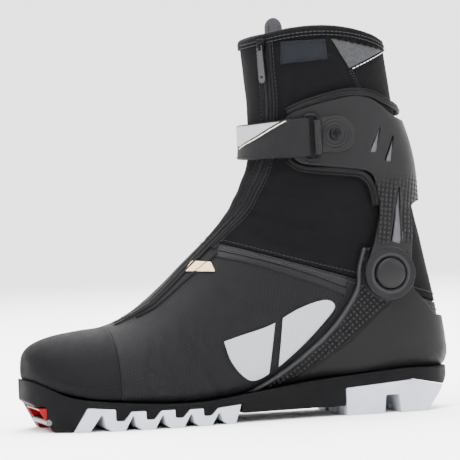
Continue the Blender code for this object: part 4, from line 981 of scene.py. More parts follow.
LOW_EDGE = [(-27.0, 118.0), (6.0, 109.5), (40.0, 97.5), (72.0, 84.5)]
MIDDLE_EDGE = [(-23.5, 122.0), (6.3, 114.0), (40.3, 103.0), (73.0, 90.0)]
HIGH_EDGE = [(-19.5, 126.6), (7.3, 118.4), (40.8, 108.0), (73.5, 97.8)]
LEAF = [(-19.0, 57.0), (-14.5, 43.0), (-5.0, 31.5), (5.0, 29.5), (22.0, 38.5), (40.0, 52.0), (55.0, 66.0),
        (64.0, 77.0), (57.0, 82.0), (38.0, 77.0), (16.0, 66.5), (-6.0, 60.5), (-19.0, 57.0)]
TAG_OUTLINE = [(-37.0, 106.0), (-31.5, 112.8), (-20.0, 111.6), (-18.6, 105.2)]
LABEL_OUTLINE = [(33.0, 248.0), (33.3, 264.0), (63.5, 264.6), (64.5, 250.5)]
FILM_OUTLINE = [(67.5, 264.8), (80.3, 243.7), (109.5, 256.0)]


def trimmed(line, first_x):
    """The part of a side-view line behind first_x."""
    line = curved(line, 40)
    start = (first_x, float(np.interp(first_x, line[:, 0], line[:, 1])))
    return np.concatenate([[start], line[line[:, 0] > first_x]])


def build_bands():
    low = trimmed(LOW_EDGE, -17.0)
    middle_low, middle_high = (trimmed([(x, z + lift) for x, z in MIDDLE_EDGE], -14.0)
                               for lift in (-0.35, 0.35))
    high = trimmed(HIGH_EDGE, -11.5)
    for medial, word in SIDES:
        lower = patch("band_lower_" + word, low, middle_low, medial, 0.15, 0.45, BAND_SMOOTH)
        place(lower, "boot", "band", "lower_band_" + word)
        upper = patch("band_upper_" + word, middle_high, high, medial, 0.15, 0.45, BAND_DOTTED)
        place(upper, "boot", "band", "upper_band_" + word)
        for k, (line, lift) in enumerate(((low, 0.9), (high, -0.9))):
            points, normals = on_skin(line + np.array([0.0, lift]), 0.62, medial)
            line = points + normals * cloth_rise(points)[:, None], normals
            sew("band_stitch_" + word + "_" + str(k), line, "boot", "band", THREAD_DARK, 1.9, 0.8, 0.16)


def split_leaf(front):
    """The leaf outline in front of, or behind, its slanting gap."""
    outline = curved(LEAF, 90)[:-1]
    gap_x = 13.0 + (outline[:, 1] - 20.0) * 12.0 / 70.0
    inside = outline[:, 0] < gap_x if front else outline[:, 0] > gap_x + 2.4
    start = int(np.argmax(inside & ~np.roll(inside, 1)))
    return np.roll(outline, -start, axis=0)[np.roll(inside, -start)]


def build_prints():
    for front, word in ((True, "front"), (False, "rear")):
        piece = outline_patch("leaf_print_" + word, split_leaf(front), False, 0.45, 0.35, SILVER, 2.0)
        place(piece, "boot", "silver_print", "side_graphic_" + word)

    tag = outline_patch("instep_tag_cloth", TAG_OUTLINE, False, 0.5, 0.7, TAG)
    place(tag, "boot", "tag_tan", "instep_tag")
    label = outline_patch("collar_label_cloth", LABEL_OUTLINE, False, 0.3, 0.6, LABEL)
    place(label, "cuff", "label_black", "collar_label")
    border = [(34.2, 249.2), (34.4, 262.9), (62.4, 263.5), (63.3, 251.6), (34.2, 249.2)]
    sew("label_stitch", on_skin(border, 1.1), "cuff", "label_black", THREAD_DARK, 1.5, 0.7, 0.2)

    zigzag = [(68.0 + 40.5 * k / 16, 264.6 - 8.6 * k / 16 + (1.0 if k % 2 else -0.6)) for k in range(17)]
    for medial, word in SIDES:
        film = outline_patch("reflective_film_" + word, FILM_OUTLINE, medial, 0.35, 0.6, REFLECTIVE)
        place(film, "cuff", "reflective", "reflective_patch_" + word)
        line = on_skin([(81.8, 242.8), (110.0, 254.6)], 1.1, medial)
        sew("film_stitch_" + word, line, "cuff", "reflective", THREAD_WHITE, 2.0, 1.3, 0.3)
        line = on_skin(zigzag, 1.15, medial, 0.5)
        sew("film_zigzag_" + word, line, "cuff", "reflective", THREAD_DARK, 2.2, 0.5, 0.25)
        for k, shift in enumerate((0.0, 1.8)):
            line = on_skin([(80.3 + shift, 243.0), (88.3 + shift, 227.5)], 0.45, medial)
            sew("collar_seam_stitch_" + word + "_" + str(k), line, "cuff", "softshell",
                THREAD_GREY, 1.0, 1.1, 0.25)


def build_seams():
    """Stitch rows on each side of the seam across the upper, and a piping that runs on down the instep."""
    u = np.arange(0, COLUMNS + 0.01, 0.1)
    for name, shift in (("seam_stitch_quarter", -0.16), ("seam_stitch_shaft", 0.16)):
        s = seam_stations(u) + shift
        sew(name, (skin(s, u, 0.3), skin_normal(s, u)), "boot", "softshell", THREAD_GREY, 2.1, 0.9, 0.24)
    s = np.linspace(9.0, 6.0, 60)
    u = zip_column(s) + 1.15 - 0.25 * ease(9.0, 6.5, s)
    line = skin(s, u, 0.25), skin_normal(s, u)
    place(sweep("instep_piping", *line, round_profile(1.1, 0.8, 10, 0.15), PIPING), "boot", "ripstop")


# ---------------------------------------------------------------- moulded pieces
SOLE_OUTLINE = (
    (-155.4, 0.0), (-152.5, 14.0), (-147.5, 23.0), (-138.0, 32.5), (-127.0, 39.0), (-112.0, 44.2),
    (-93.0, 47.6), (-67.0, 48.9), (-35.0, 46.8), (5.0, 41.3), (53.0, 37.0), (100.0, 37.0),
    (124.0, 36.0), (140.0, 29.5), (149.5, 19.0), (153.5, 8.0), (154.5, 0.0),
)
RAND_TOP = (
    (-158.0, 38.0), (-145.0, 33.5), (-134.0, 27.5), (-124.0, 23.5), (-103.0, 20.4), (-75.0, 17.8),
    (-53.0, 16.6), (-30.0, 17.0), (0.0, 20.5), (24.0, 23.4), (51.0, 26.4), (85.0, 29.0),
    (116.0, 31.0), (135.0, 30.5), (158.0, 30.0),
)
TREAD_PITCH = 20.5
FIRST_LUG_X = -101.9
LUG_COUNT = 5
LUG_LENGTH = 10.0
TREAD_TOP_Z = 13.6
TREAD_PLATE = 2.6
TOOTH_BOTTOM_Z = 7.0
ARCH_BOTTOM_Z = 6.8
BAR_CENTRE = (-140.6, 7.0)
BAR_R = 2.2
BAR_HALF_LENGTH = 25.5
RECESS_HALF_WIDTH = 23.0


def skin_solid(name, offset, full):
    """The boot's outside as one closed form, with fullness if full is 1 and without it if 0."""
    points = GRID + NORMALS * (offset + full * fullness(GRID, NORMALS))[..., None]
    return solid(name, points.reshape(-1, 3), tube_faces(*GRID.shape[:2], ends=True))


def plan_prism():
    """Plan outline of the sole as an upright prism, lateral side from toe to heel, then back."""
    x, half_width = curved(SOLE_OUTLINE, 160).T
    half_width = np.maximum(half_width, 0.0)
    lateral, medial = (np.stack([x, side * half_width + toe_shift(x)], axis=1) for side in (-1, 1))
    outline = np.concatenate([lateral, medial[1:-1][::-1]])
    points = [(x, y, z) for z in (80.0, -80.0) for x, y in outline]
    return solid("sole_plan", points, tube_faces(2, len(outline), ends=True))


def tread_top_line(clearance):
    """Underside of the black wall along the forefoot: a tooth of it drops over every lug."""
    line = [(-126.0 - clearance, -1.0), (-116.4 - clearance, 16.6 + clearance)]
    for k in range(LUG_COUNT - 1):
        tooth = FIRST_LUG_X + TREAD_PITCH * k + 4.0
        high = TREAD_TOP_Z - 0.45 * k + clearance
        line += [(tooth + clearance, high + (1.5 if k == 0 else 0.0)),
                 (tooth + clearance, TOOTH_BOTTOM_Z + clearance),
                 (tooth + 5.6 - clearance, TOOTH_BOTTOM_Z + clearance),
                 (tooth + 10.5 - clearance, high - 0.45)]
    line += [(-8.4 + clearance, 13.2 + clearance), (-12.6 + clearance, -1.0)]
    return line


def forefoot_profile():
    """Side view of the white forefoot tread: a sloping leg, then five lugs under a thin wavy band."""
    top = [(-126.0, 0.0)] + tread_top_line(0.0)[1:-1] + [(-13.0, 0.0)]
    under = []
    for k in reversed(range(LUG_COUNT)):
        front = FIRST_LUG_X + TREAD_PITCH * k
        rear = front + LUG_LENGTH
        high = TREAD_TOP_Z - TREAD_PLATE - 0.45 * k
        if k < LUG_COUNT - 1:
            under += [(rear + 5.8, high), (rear + 1.0, 2.0), (rear, 0.0)]
        under += [(front + 0.6, 0.0), (front - 3.2, 3.2), (front - 4.6, high)]
    return top + under + [(-106.8, 12.6), (-115.4, 0.0)]


def moulded(obj, material, voxel, passes=4):
    """Round a finished solid's edges and give it its material."""
    settle(obj)
    soften(obj, voxel, passes)
    obj.data.materials.clear()
    obj.data.materials.append(material)
    return obj


def build_sole():
    skin_cutter = skin_solid("skin_cutter", -0.7, 1.0)
    plan = plan_prism()
    grooves = [prism("groove", [(-131.0, -2.0), (160.0, -2.0), (160.0, 4.6), (-131.0, 4.6)], low, high)
               for low, high in ((-17.0, -8.0), (8.0, 17.0))]
    bottom = [(149.5, 20.5), (146.5, 17.4), (119.0, 23.2), (69.6, 19.8),
              (69.6, ARCH_BOTTOM_Z), (-7.9, ARCH_BOTTOM_Z)]
    bottom += tread_top_line(0.3)[-2:0:-1] + [(-126.4, 0.3), (-138.0, 0.3), (-149.2, 19.0), (-156.0, 23.0)]
    outsole = prism("outsole_rubber", np.concatenate([curved(RAND_TOP, 120), bottom]), -60.0, 60.0)
    recess = prism("recess", [(-170.0, -5.0), (-170.0, 17.4), (-134.5, 17.4), (-129.9, 0.0), (-128.7, -5.0)],
                   -RECESS_HALF_WIDTH, RECESS_HALF_WIDTH)
    socket = rod("socket", BAR_R + 0.3, -BAR_HALF_LENGTH - 0.6, BAR_HALF_LENGTH + 0.6, BAR_CENTRE, 40)
    boolean(outsole, plan, "INTERSECT")
    for cutter in (skin_cutter, recess, socket):
        boolean(outsole, cutter)
    place(moulded(outsole, SOLE, 0.75), "boot", "sole_rubber", "outsole")

    heel_outline = [(70.0, 0.0), (70.0, 19.4), (119.0, 22.8), (146.4, 17.0), (131.5, 1.0), (129.5, 0.0),
                    (110.0, 0.0), (108.7, 12.9), (99.2, 12.9), (97.9, 0.0)]
    for node, outline in (("forefoot_tread", forefoot_profile()), ("heel_tread", heel_outline)):
        piece = prism(node + "_rubber", outline, -60.0, 60.0)
        boolean(piece, plan, "INTERSECT")
        for groove in grooves:
            boolean(piece, groove)
        place(moulded(piece, TREAD, 0.6), "boot", "tread_rubber", node)

    side = RECESS_HALF_WIDTH - 0.3
    liner = prism("recess_lining", [(-147.6, 17.0), (-134.9, 17.0), (-130.5, 0.6), (-138.4, 0.6)],
                  -side, side)
    hollow = prism("recess_hollow", [(-160.0, 15.6), (-136.5, 15.6), (-132.2, -3.0), (-160.0, -3.0)],
                   1.5 - side, side - 1.5)
    boolean(liner, hollow)
    boolean(liner, rod("bar_hole", BAR_R + 0.3, -40.0, 40.0, BAR_CENTRE, 40))
    place(moulded(liner, RED, 0.4, 2), "boot", "recess_red", "toe_recess_liner")

    half = [(0.0, BAR_HALF_LENGTH), (1.7, BAR_HALF_LENGTH), (BAR_R, BAR_HALF_LENGTH - 0.5)]
    bar = turned("binding_bar", half + [(r, -h) for r, h in half[::-1]],
                 (BAR_CENTRE[0], 0.0, BAR_CENTRE[1]), (0.0, 1.0, 0.0), STEEL)
    place(bar, "boot", "steel", "toe_bar")


def turned(name, profile, origin, axis, material, sides=64):
    """A turned piece from a (radius, height) profile, its ends on the axis or joined to each other."""
    axis = Vector(axis).normalized()
    first = np.array(axis.orthogonal().normalized())
    axis = np.array(axis)
    angles = (np.arange(sides) * 2 * math.pi / sides)[:, None]
    ring = first * np.cos(angles) + np.cross(axis, first) * np.sin(angles)
    closed = profile[0] == profile[-1]
    rows = profile[:-1] if closed else profile
    points = np.array([np.array(origin) + axis * h + ring * max(r, 1e-4) for r, h in rows])
    return mesh_object(name, points.reshape(-1, 3), tube_faces(len(rows), sides, closed=closed), material,
                       smooth_angle=32.0)


def dome(radius, foot, rise, count):
    """Quarter-ellipse profile of a domed head, from its top on the axis to its edge."""
    return [(radius * math.sin(a), foot + rise * math.cos(a)) for a in np.linspace(0.0, math.pi / 2, count)]


def chassis_outline():
    rand = curved(RAND_TOP, 120)
    bottom = [(x, float(np.interp(x, *rand.T)) + 0.5) for x in np.linspace(0.0, 156.0, 40)]
    back = curved([(156.0, 64.0), (148.0, 66.5), (141.0, 68.5), (133.0, 77.5), (124.0, 86.0)], 14)
    behind_pivot = arc(PIVOT, PIVOT_BOSS_R + 0.4, -10.0, 100.0, 30)
    return np.concatenate([curved(CHASSIS_FRONT, 60), bottom, back, behind_pivot])


CHASSIS_FRONT = ((84.5, 117.3), (80.6, 104.0), (78.2, 88.0), (62.8, 66.0), (43.6, 49.0),
                 (20.9, 33.5), (-3.0, 20.6))
CHASSIS_ARM_REAR = ((108.0, 84.0), (104.0, 78.0), (96.5, 73.0), (73.6, 53.0), (51.0, 38.8),
                    (36.7, 30.5), (24.0, 25.0))


def distance_to(points, line):
    """Distance in side view from each point to a line, positive on the line's left side."""
    flat = points[:, [0, 2]]
    signed = np.full(len(flat), 1e9)
    line = np.asarray(line, float)
    for a, b in zip(line[:-1], line[1:]):
        along = b - a
        t = np.clip(((flat - a) @ along) / (along @ along), 0.0, 1.0)
        away = flat - a - t[:, None] * along
        distance = np.linalg.norm(away, axis=1)
        left = along[0] * away[:, 1] >= along[1] * away[:, 0]
        signed = np.where(distance < np.abs(signed), np.where(left, distance, -distance), signed)
    return signed


def shell_object(name, first, last, edge_column, offset, thickness, material):
    """A moulded shell round the skin, from its inner face outwards; edge_column is 0 if it goes all round."""
    rows = np.linspace(first, last, int((last - first) * FINE_S) + 1)
    columns = np.linspace(edge_column, COLUMNS - edge_column, int((COLUMNS - 2 * edge_column) * 4) + 1)
    whole = edge_column == 0
    s, u = np.meshgrid(rows, columns[:-1] if whole else columns, indexing="ij")
    grid = skin(s, u, offset(skin(s, u), skin_normal(s, u)))
    return thicken(grid_object(name, grid, material, ring=whole), thickness, OUTWARDS)


def relief(obj, amount):
    """Push each point of a settled mesh along its normal by amount(points, normals)."""
    points, normals = vertices(obj), vertex_normals(obj)
    height = amount(points, normals)
    # the height is also kept as the relief attribute, from which the plastic materials paint shade into
    # hollows and a highlight onto raised faces
    layer = obj.data.attributes.new("relief", "FLOAT", "POINT")
    layer.data.foreach_set("value", height.astype(np.float32))
    move_vertices(obj, points + normals * height[:, None])


def square_grid(points, pitch, groove, turn):
    """1 on squares and 0 in the grooves between them, in side view."""
    c, s = math.cos(turn), math.sin(turn)
    a = points[:, 0] * c + points[:, 2] * s
    b = points[:, 2] * c - points[:, 0] * s
    edge = np.minimum(np.abs((a / pitch) % 1 - 0.5), np.abs((b / pitch) % 1 - 0.5)) * pitch
    return ease(groove * 0.4, groove, edge)


def from_pivot(points):
    return np.hypot(points[:, 0] - PIVOT[0], points[:, 2] - PIVOT[1])


def build_chassis():
    chassis = shell_object("heel_chassis_shell", 6.8, 14.2, 0, lambda points, normals: 0.85
                           + fullness(points, normals), 2.6, CHASSIS_PLASTIC)
    boolean(chassis, prism("chassis_outline", chassis_outline(), -80.0, 80.0), "INTERSECT")
    for side in (-1, 1):
        boolean(chassis, rod("boss", PIVOT_BOSS_R, side * 20.0, side * CHASSIS_FACE_Y), "UNION")
    boolean(chassis, skin_solid("skin_cutter", 0.4, 0.0))
    for side in (-1, 1):
        for radius, near in ((PIVOT_BOSS_R + 1.0, CHASSIS_FACE_Y), (4.9, 20.0)):
            boolean(chassis, rod("chassis_hole", radius, side * near, side * 60.0))
    moulded(chassis, CHASSIS_PLASTIC, 0.6, 3)

    # heights of the moulded ridge, step and square grid; the plastic material also turns them into painted
    # shade in the grooves and the step and a painted highlight on the ridge and squares
    def texture(points, normals):
        outward = ease(0.2, 0.6, normals[:, 1] * np.sign(points[:, 1]))
        from_front = distance_to(points, curved(CHASSIS_FRONT, 50))
        from_rear = distance_to(points, curved(CHASSIS_ARM_REAR, 50))
        in_arm = ease(3.2, 4.4, from_front) * ease(0.6, 1.8, -from_rear)
        off_boss = ease(PIVOT_BOSS_R + 0.5, PIVOT_BOSS_R + 2.0, from_pivot(points))
        squares = square_grid(points, 3.3, 0.9, math.radians(38))
        ridge = ease(0.6, 1.2, from_front) * (1 - ease(2.2, 2.9, from_front))
        step = np.exp(-(from_rear / 0.9) ** 2)
        pattern = in_arm * (0.18 * squares - 0.55 * (1 - squares))
        return outward * off_boss * (ridge * 0.55 + pattern - step * 0.35)

    relief(chassis, texture)
    place(chassis, "boot", "shell_plastic", "heel_chassis")


def cuff_offset(points, _normals=None):
    """Inner face of the cuff, as a distance outside the skin."""
    x, z = points[..., 0], points[..., 2]
    swell = np.sin(math.pi * np.clip((z - 146.0) / 64.0, 0.0, 1.0)) ** 0.8
    return 4.6 - 3.0 * ease(120.0, 160.0, z) + 4.2 * swell * ease(100.0, 126.0, x)


def cuff_outline():
    top = curved([(33.5, 209.0), (38.5, 214.4), (50.0, 218.0), (64.0, 221.7), (80.0, 224.4), (93.0, 222.8),
                  (104.0, 217.5), (113.0, 210.8), (124.0, 206.8)], 60)
    back = curved([(133.0, 148.5), (126.0, 144.5), (124.4, 131.0), (122.6, 114.0)], 24)
    boss = arc(PIVOT, PIVOT_BOSS_R - 0.8, 15.0, -190.0, 60)
    front = curved([(86.0, 104.0), (89.5, 112.5), (93.0, 122.5), (98.2, 140.0), (98.6, 150.0)], 30)
    corner = arc((86.0, 161.6), 10.4, 0.0, 88.0, 14)
    low = curved([(77.0, 173.4), (56.0, 176.0), (44.0, 178.0), (38.5, 182.6), (35.0, 190.0)], 30)
    return np.concatenate([top, [(160.0, 206.8), (160.0, 149.0)], back, boss, front, corner, low])


OPENINGS = {
    "slit_front": ((102.4, 203.4), (103.2, 203.2), (97.4, 184.2), (92.4, 184.6)),
    "slit_rear": ((113.2, 196.6), (114.0, 196.4), (109.2, 177.2), (104.2, 177.6)),
    "window": ((114.9, 159.5), (116.0, 159.0), (112.6, 119.0), (105.0, 121.6)),
}


def build_cuff():
    cuff = shell_object("cuff_shell", 10.5, 17.0, 2, cuff_offset, 3.0, SHELL)
    boolean(cuff, prism("cuff_outline", cuff_outline(), -80.0, 80.0), "INTERSECT")
    near = CHASSIS_FACE_Y + 0.4
    for side in (-1, 1):
        for operation, radius, low, high in (
                ("UNION", PIVOT_BOSS_R, near - 3.0, CUFF_FACE_Y),
                ("DIFFERENCE", PIVOT_BOSS_R + 1.2, 20.0, near),
                ("DIFFERENCE", 6.3, 20.0, 60.0),
                ("DIFFERENCE", 11.6, CUFF_FACE_Y - 1.4, 60.0)):
            boolean(cuff, rod("cuff_tool", radius, side * low, side * high), operation)
        for hole in OPENINGS.values():
            boolean(cuff, prism("opening", hole, side * 1.0, side * 80.0))
    moulded(cuff, SHELL, 0.6, 3)

    # heights of the collar ring round the pivot and the square grid on the arm; the plastic material also
    # turns them into painted shade in the grooves and a painted highlight on the ring and squares
    def texture(points, normals):
        outward = ease(0.1, 0.5, normals[:, 1] * np.sign(points[:, 1]))
        x, z = points[:, 0], points[:, 2]
        in_arm = ease(118.0, 122.0, z) * (1 - ease(158.0, 172.0, z)) * ease(93.0, 96.0, x)
        in_arm = in_arm * ease(1.4, 2.2, np.abs(distance_to(points, looped(OPENINGS["window"]))))
        squares = square_grid(points, 3.3, 0.9, math.radians(-9))
        collar = np.exp(-((from_pivot(points) - 13.4) / 0.7) ** 2)
        return outward * (0.3 * collar + in_arm * (0.15 * squares - 0.5 * (1 - squares)))

    relief(cuff, texture)
    place(cuff, "cuff", "shell_plastic", "cuff")
    for kind, outline in OPENINGS.items():
        for medial, word in SIDES:
            insert = outline_patch(kind + "_fin_" + word, outline, medial, 0.0, 1.2, INSERT, 3.0)
            points = vertices(insert)
            points += (points - points.mean(axis=0)) * 0.06
            s, u = locate(points[:, 0], points[:, 2], medial)
            slope = ease(0.0, 1.0, (points[:, 2] - points[:, 2].min()) / np.ptp(points[:, 2]))
            move_vertices(insert, skin(s, u, cuff_offset(skin(s, u)) + 1.5 - 1.7 * slope))
            place(insert, "cuff", "insert_grey", kind + "_insert_" + word)


def station_at_height(u, z):
    """Stations at which columns of the leg pass heights z."""
    u, z = np.broadcast_arrays(np.asarray(u, float), np.asarray(z, float))
    first = 8 * FINE_S
    rings = np.arange(first, len(GRID))
    result = []
    for column, height in zip(u.ravel(), z.ravel()):
        heights = sample(GRID, rings / FINE_S, np.full(len(rings), column))[:, 2]
        result.append(np.interp(height, heights, rings) / FINE_S)
    return np.array(result).reshape(u.shape)


def lip(name, path, normals, node):
    """Soft double-bead lip: a wide outer bead with a thinner one beside it."""
    wide = [(1.9 * math.cos(a) + 0.7, 1.5 * math.sin(a)) for a in np.linspace(math.pi, -math.pi * 0.5, 15)]
    thin = [(math.cos(a) - 1.9, math.sin(a) - 0.2) for a in np.linspace(-math.pi * 0.5, -math.pi * 1.7, 11)]
    place(sweep(name, path, normals, (wide + thin)[::-1], LIP), "cuff", "lip_rubber", node)


def build_lips():
    top_line = [(37.0, 214.6), (42.0, 217.4), (50.0, 220.6), (64.0, 224.4), (79.0, 227.0), (93.0, 225.6),
                (105.0, 220.2)]
    line = even(curved(top_line, 60), 0.8)
    s, u = locate(line[:, 0], line[:, 1])
    u_back = np.linspace(u[-1], COLUMNS - u[-1], 60)[1:-1]
    swing = (u_back - HALF) / (HALF - u[-1])
    back_z, ends_z = 212.0, sample(GRID, s[-1:], u[-1:])[0, 2]
    s_back = station_at_height(u_back, back_z + (ends_z - back_z) * np.abs(swing) ** 1.6)
    s = np.concatenate([s, s_back, s[::-1]])
    u = np.concatenate([u, u_back, COLUMNS - u[::-1]])
    path, normals = skin(s, u, 3.6), skin_normal(s, u)
    for _ in range(6):
        path[1:-1] = (path[:-2] + 2 * path[1:-1] + path[2:]) / 4
    both = even(np.concatenate([path, normals], axis=1), 0.9)
    lip("cuff_upper_lip_rubber", both[:, :3], both[:, 3:], "cuff_upper_lip")

    low_line = [(37.5, 181.5), (41.0, 177.4), (46.0, 175.0), (56.0, 173.4), (77.0, 170.8), (85.5, 169.0),
                (91.0, 164.0), (94.0, 156.5), (95.6, 147.0)]
    for medial, word in SIDES:
        path, normals = on_skin(curved(low_line, 60), 3.4, medial)
        turn = 1 if medial else -1
        lip("cuff_lower_lip_rubber_" + word, path[::turn], normals[::turn], "cuff_lower_lip_" + word)


def build_pivots():
    seat = CUFF_FACE_Y - 1.4
    for side, word in ((-1, "lateral"), (1, "medial")):
        origin, axis = (PIVOT[0], 0.0, PIVOT[1]), (0.0, float(side), 0.0)
        cap = turned("pivot_cap_domed_" + word, dome(10.6, seat + 1.9, 2.7, 20) + [
            (10.8, seat + 1.5), (10.8, seat + 0.5), (10.5, seat + 0.3), (8.0, seat + 0.3), (8.0, seat + 1.5),
            (0.0, seat + 1.5)], origin, axis, CAP_PLASTIC)
        place(cap, "cuff", "shell_plastic", "pivot_cap_" + word)
        bush = turned("pivot_bush_turned_" + word, [
            (4.9, seat - 0.3), (6.0, seat - 0.3), (6.0, CHASSIS_FACE_Y + 0.4), (4.9, CHASSIS_FACE_Y + 0.4),
            (4.9, seat - 0.3)], origin, axis, INSERT)
        place(bush, "cuff", "insert_grey", "pivot_bush_" + word)
        rivet = turned("pivot_rivet_turned_" + word, [
            (0.0, seat + 1.2), (7.0, seat + 1.2), (7.4, seat + 0.9), (7.4, seat + 0.3), (4.5, seat + 0.3),
            (4.5, CHASSIS_FACE_Y - 2.4), (0.0, CHASSIS_FACE_Y - 2.4)], origin, axis, STEEL)
        place(rivet, BODY_OF["pivot_rivet_" + word], "steel", "pivot_rivet_" + word)


# ---------------------------------------------------------------- strap, ring and anchor plate
RING_MIDDLE = np.array([49.72, -45.113, 195.983])
RING_ALONG = np.array([0.967, -0.255, 0.004])
RING_UP = np.array([-0.003, 0.001, 1.0])
RING_OUT = np.array([-0.255, -0.967, 0.0])
RING_HALF_X = 4.25
RING_HALF_Z = 15.8
RING_WIRE_R = 1.4
STRAP_THICKNESS = 1.5
STRAP_MIDDLE_Z = 197.0
RING_FRONT_X = 47.5
FOLD_REACH = RING_WIRE_R + 0.3 + STRAP_THICKNESS / 2


def strap_edges(x):
    lift = ease(5.0, 47.0, x)
    return 181.6 + 1.6 * lift, 206.4 + 3.4 * lift


def strap_depth(x):
    return 2.2 + 2.8 * ease(15.0, 30.0, x)


def strap_column(x, medial):
    _, u = locate([x], [STRAP_MIDDLE_Z], medial)
    return float(u[0]) - (COLUMNS if medial else 0)


def run_x(u):
    s = station_at_height(u, STRAP_MIDDLE_Z)
    return sample(GRID, s, u)[..., 0]


def strap_run(columns, outer, rows=22):
    """Mid-surface points of one run of the strap, over the given columns."""
    x = run_x(columns)
    low, high = strap_edges(x)
    depth = strap_depth(x) + STRAP_THICKNESS / 2
    if outer:
        near_ring = strap_column(RING_FRONT_X, False) - 0.9
        at_ring = 9.0 + FOLD_REACH
        free = strap_depth(x) + 2.5 * STRAP_THICKNESS + 0.8
        depth = free + (at_ring - free) * ease(near_ring - 2.0, near_ring + 0.9, columns)
    t = np.linspace(0.0, 1.0, rows)[None, :]
    z = low[:, None] + (high - low)[:, None] * t
    u = np.broadcast_to(columns[:, None], z.shape)
    curl = 0.18 * np.sin(columns * 2.1)[:, None] - 0.35 * np.abs(2 * t - 1) ** 3
    return skin(station_at_height(u, z), u, depth[:, None] + curl)


def strap_fold(column, rows=22):
    """The fold of the strap round the front wire of its ring."""
    low, high = strap_edges(float(run_x(np.array([column]))[0]))
    z = low + (high - low) * np.linspace(0.0, 1.0, rows)
    centre = RING_MIDDLE - RING_ALONG * RING_HALF_X + RING_UP * (z - RING_MIDDLE[2])[:, None]
    return np.array([centre + (RING_ALONG * math.sin(a) - RING_OUT * math.cos(a)) * FOLD_REACH
                     for a in np.linspace(0.0, math.pi, 15)])


def strap_piece(name, points, material, thickness=STRAP_THICKNESS):
    """A strap of even thickness on each side of its mid-surface, with rounded edges."""
    return thicken(grid_object(name, points, material), thickness, BOTH_SIDES, 0.35)


def strap_normals(u):
    return skin_normal(station_at_height(u, STRAP_MIDDLE_Z), u)


def build_strap():
    start, end = strap_column(70.0, True), strap_column(34.0, True)
    split = strap_column(13.0, False)
    near_ring = strap_column(RING_FRONT_X, False) - 0.9
    inner = strap_piece("strap_inner_run", strap_run(np.linspace(start, split, 90), False), WEB)
    place(inner, "cuff", "strap_web", "strap")
    outer = strap_piece("strap_outer_run", strap_run(np.linspace(end, split, 70), True), WEB)
    place(outer, "cuff", "strap_web")
    loop = strap_piece("strap_loop", np.concatenate([
        strap_run(np.linspace(split, near_ring, 36), False)[:-1], strap_fold(near_ring),
        strap_run(np.linspace(near_ring, split, 36), True)[1:]]), WEB)
    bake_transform(loop)
    finish(loop, ["strap_hook_pad"])
    u = np.linspace(end + 0.4, split, 60)
    pad = strap_run(u, False, 16)[:, 2:-2] + strap_normals(u)[:, None] * 1.35
    place(strap_piece("strap_hook_tape", pad, SOFTSHELL, 0.6), "cuff", "softshell")

    # light corner patch at the strap's free end, and a cream line beside it, both cut on a slant
    for name, first_share, lead, width, material, slot in (
            ("strap_light_patch", 0.38, 0.0, 0.0, PATCH_WEB, "reflective"),
            ("strap_cream_line", 0.30, 0.45, 0.17, CREAM, "tag_tan")):
        grid = []
        for share in np.linspace(first_share, 0.965, 30):
            right = 0.2 + 3.6 * (share - 0.38) / 0.585 + lead
            left = right - width if width else -1.6
            u = np.linspace(left, max(right, left + 0.05), 4 if width else 24)
            grid.append(strap_run(u, True, 121)[:, int(round(share * 120))] + strap_normals(u) * 0.85)
        place(thicken(grid_object(name, np.array(grid), material), 0.35, OUTWARDS), "cuff", slot)

    u = np.linspace(end + 0.2, near_ring - 0.1, 150)
    for name, row in (("strap_stitch_low", 3), ("strap_stitch_high", 47)):
        line = strap_run(u, True, 51)[:, row] + strap_normals(u) * 0.8, strap_normals(u)
        sew(name, line, "cuff", "strap_web", THREAD_DARK, 2.0, 0.9, 0.24)

    corner_r = 1.8
    loop = []
    for turn, (cx, cz) in enumerate(((1, 1), (-1, 1), (-1, -1), (1, -1))):
        centre = (cx * (RING_HALF_X - corner_r), cz * (RING_HALF_Z - corner_r))
        corner = arc(centre, corner_r, turn * 90.0, turn * 90.0 + 90.0, 10)
        loop += [RING_MIDDLE + RING_ALONG * a + RING_UP * b for a, b in corner]
    loop = even(looped(np.array(loop)), 0.5)[:-1]
    wire = round_profile(RING_WIRE_R, RING_WIRE_R, 20)
    out = np.broadcast_to(RING_OUT, loop.shape)
    ring = sweep("strap_ring_wire", loop, out, wire, DARK_STEEL, closed=True)
    place(ring, "ring", "steel", "strap_ring")


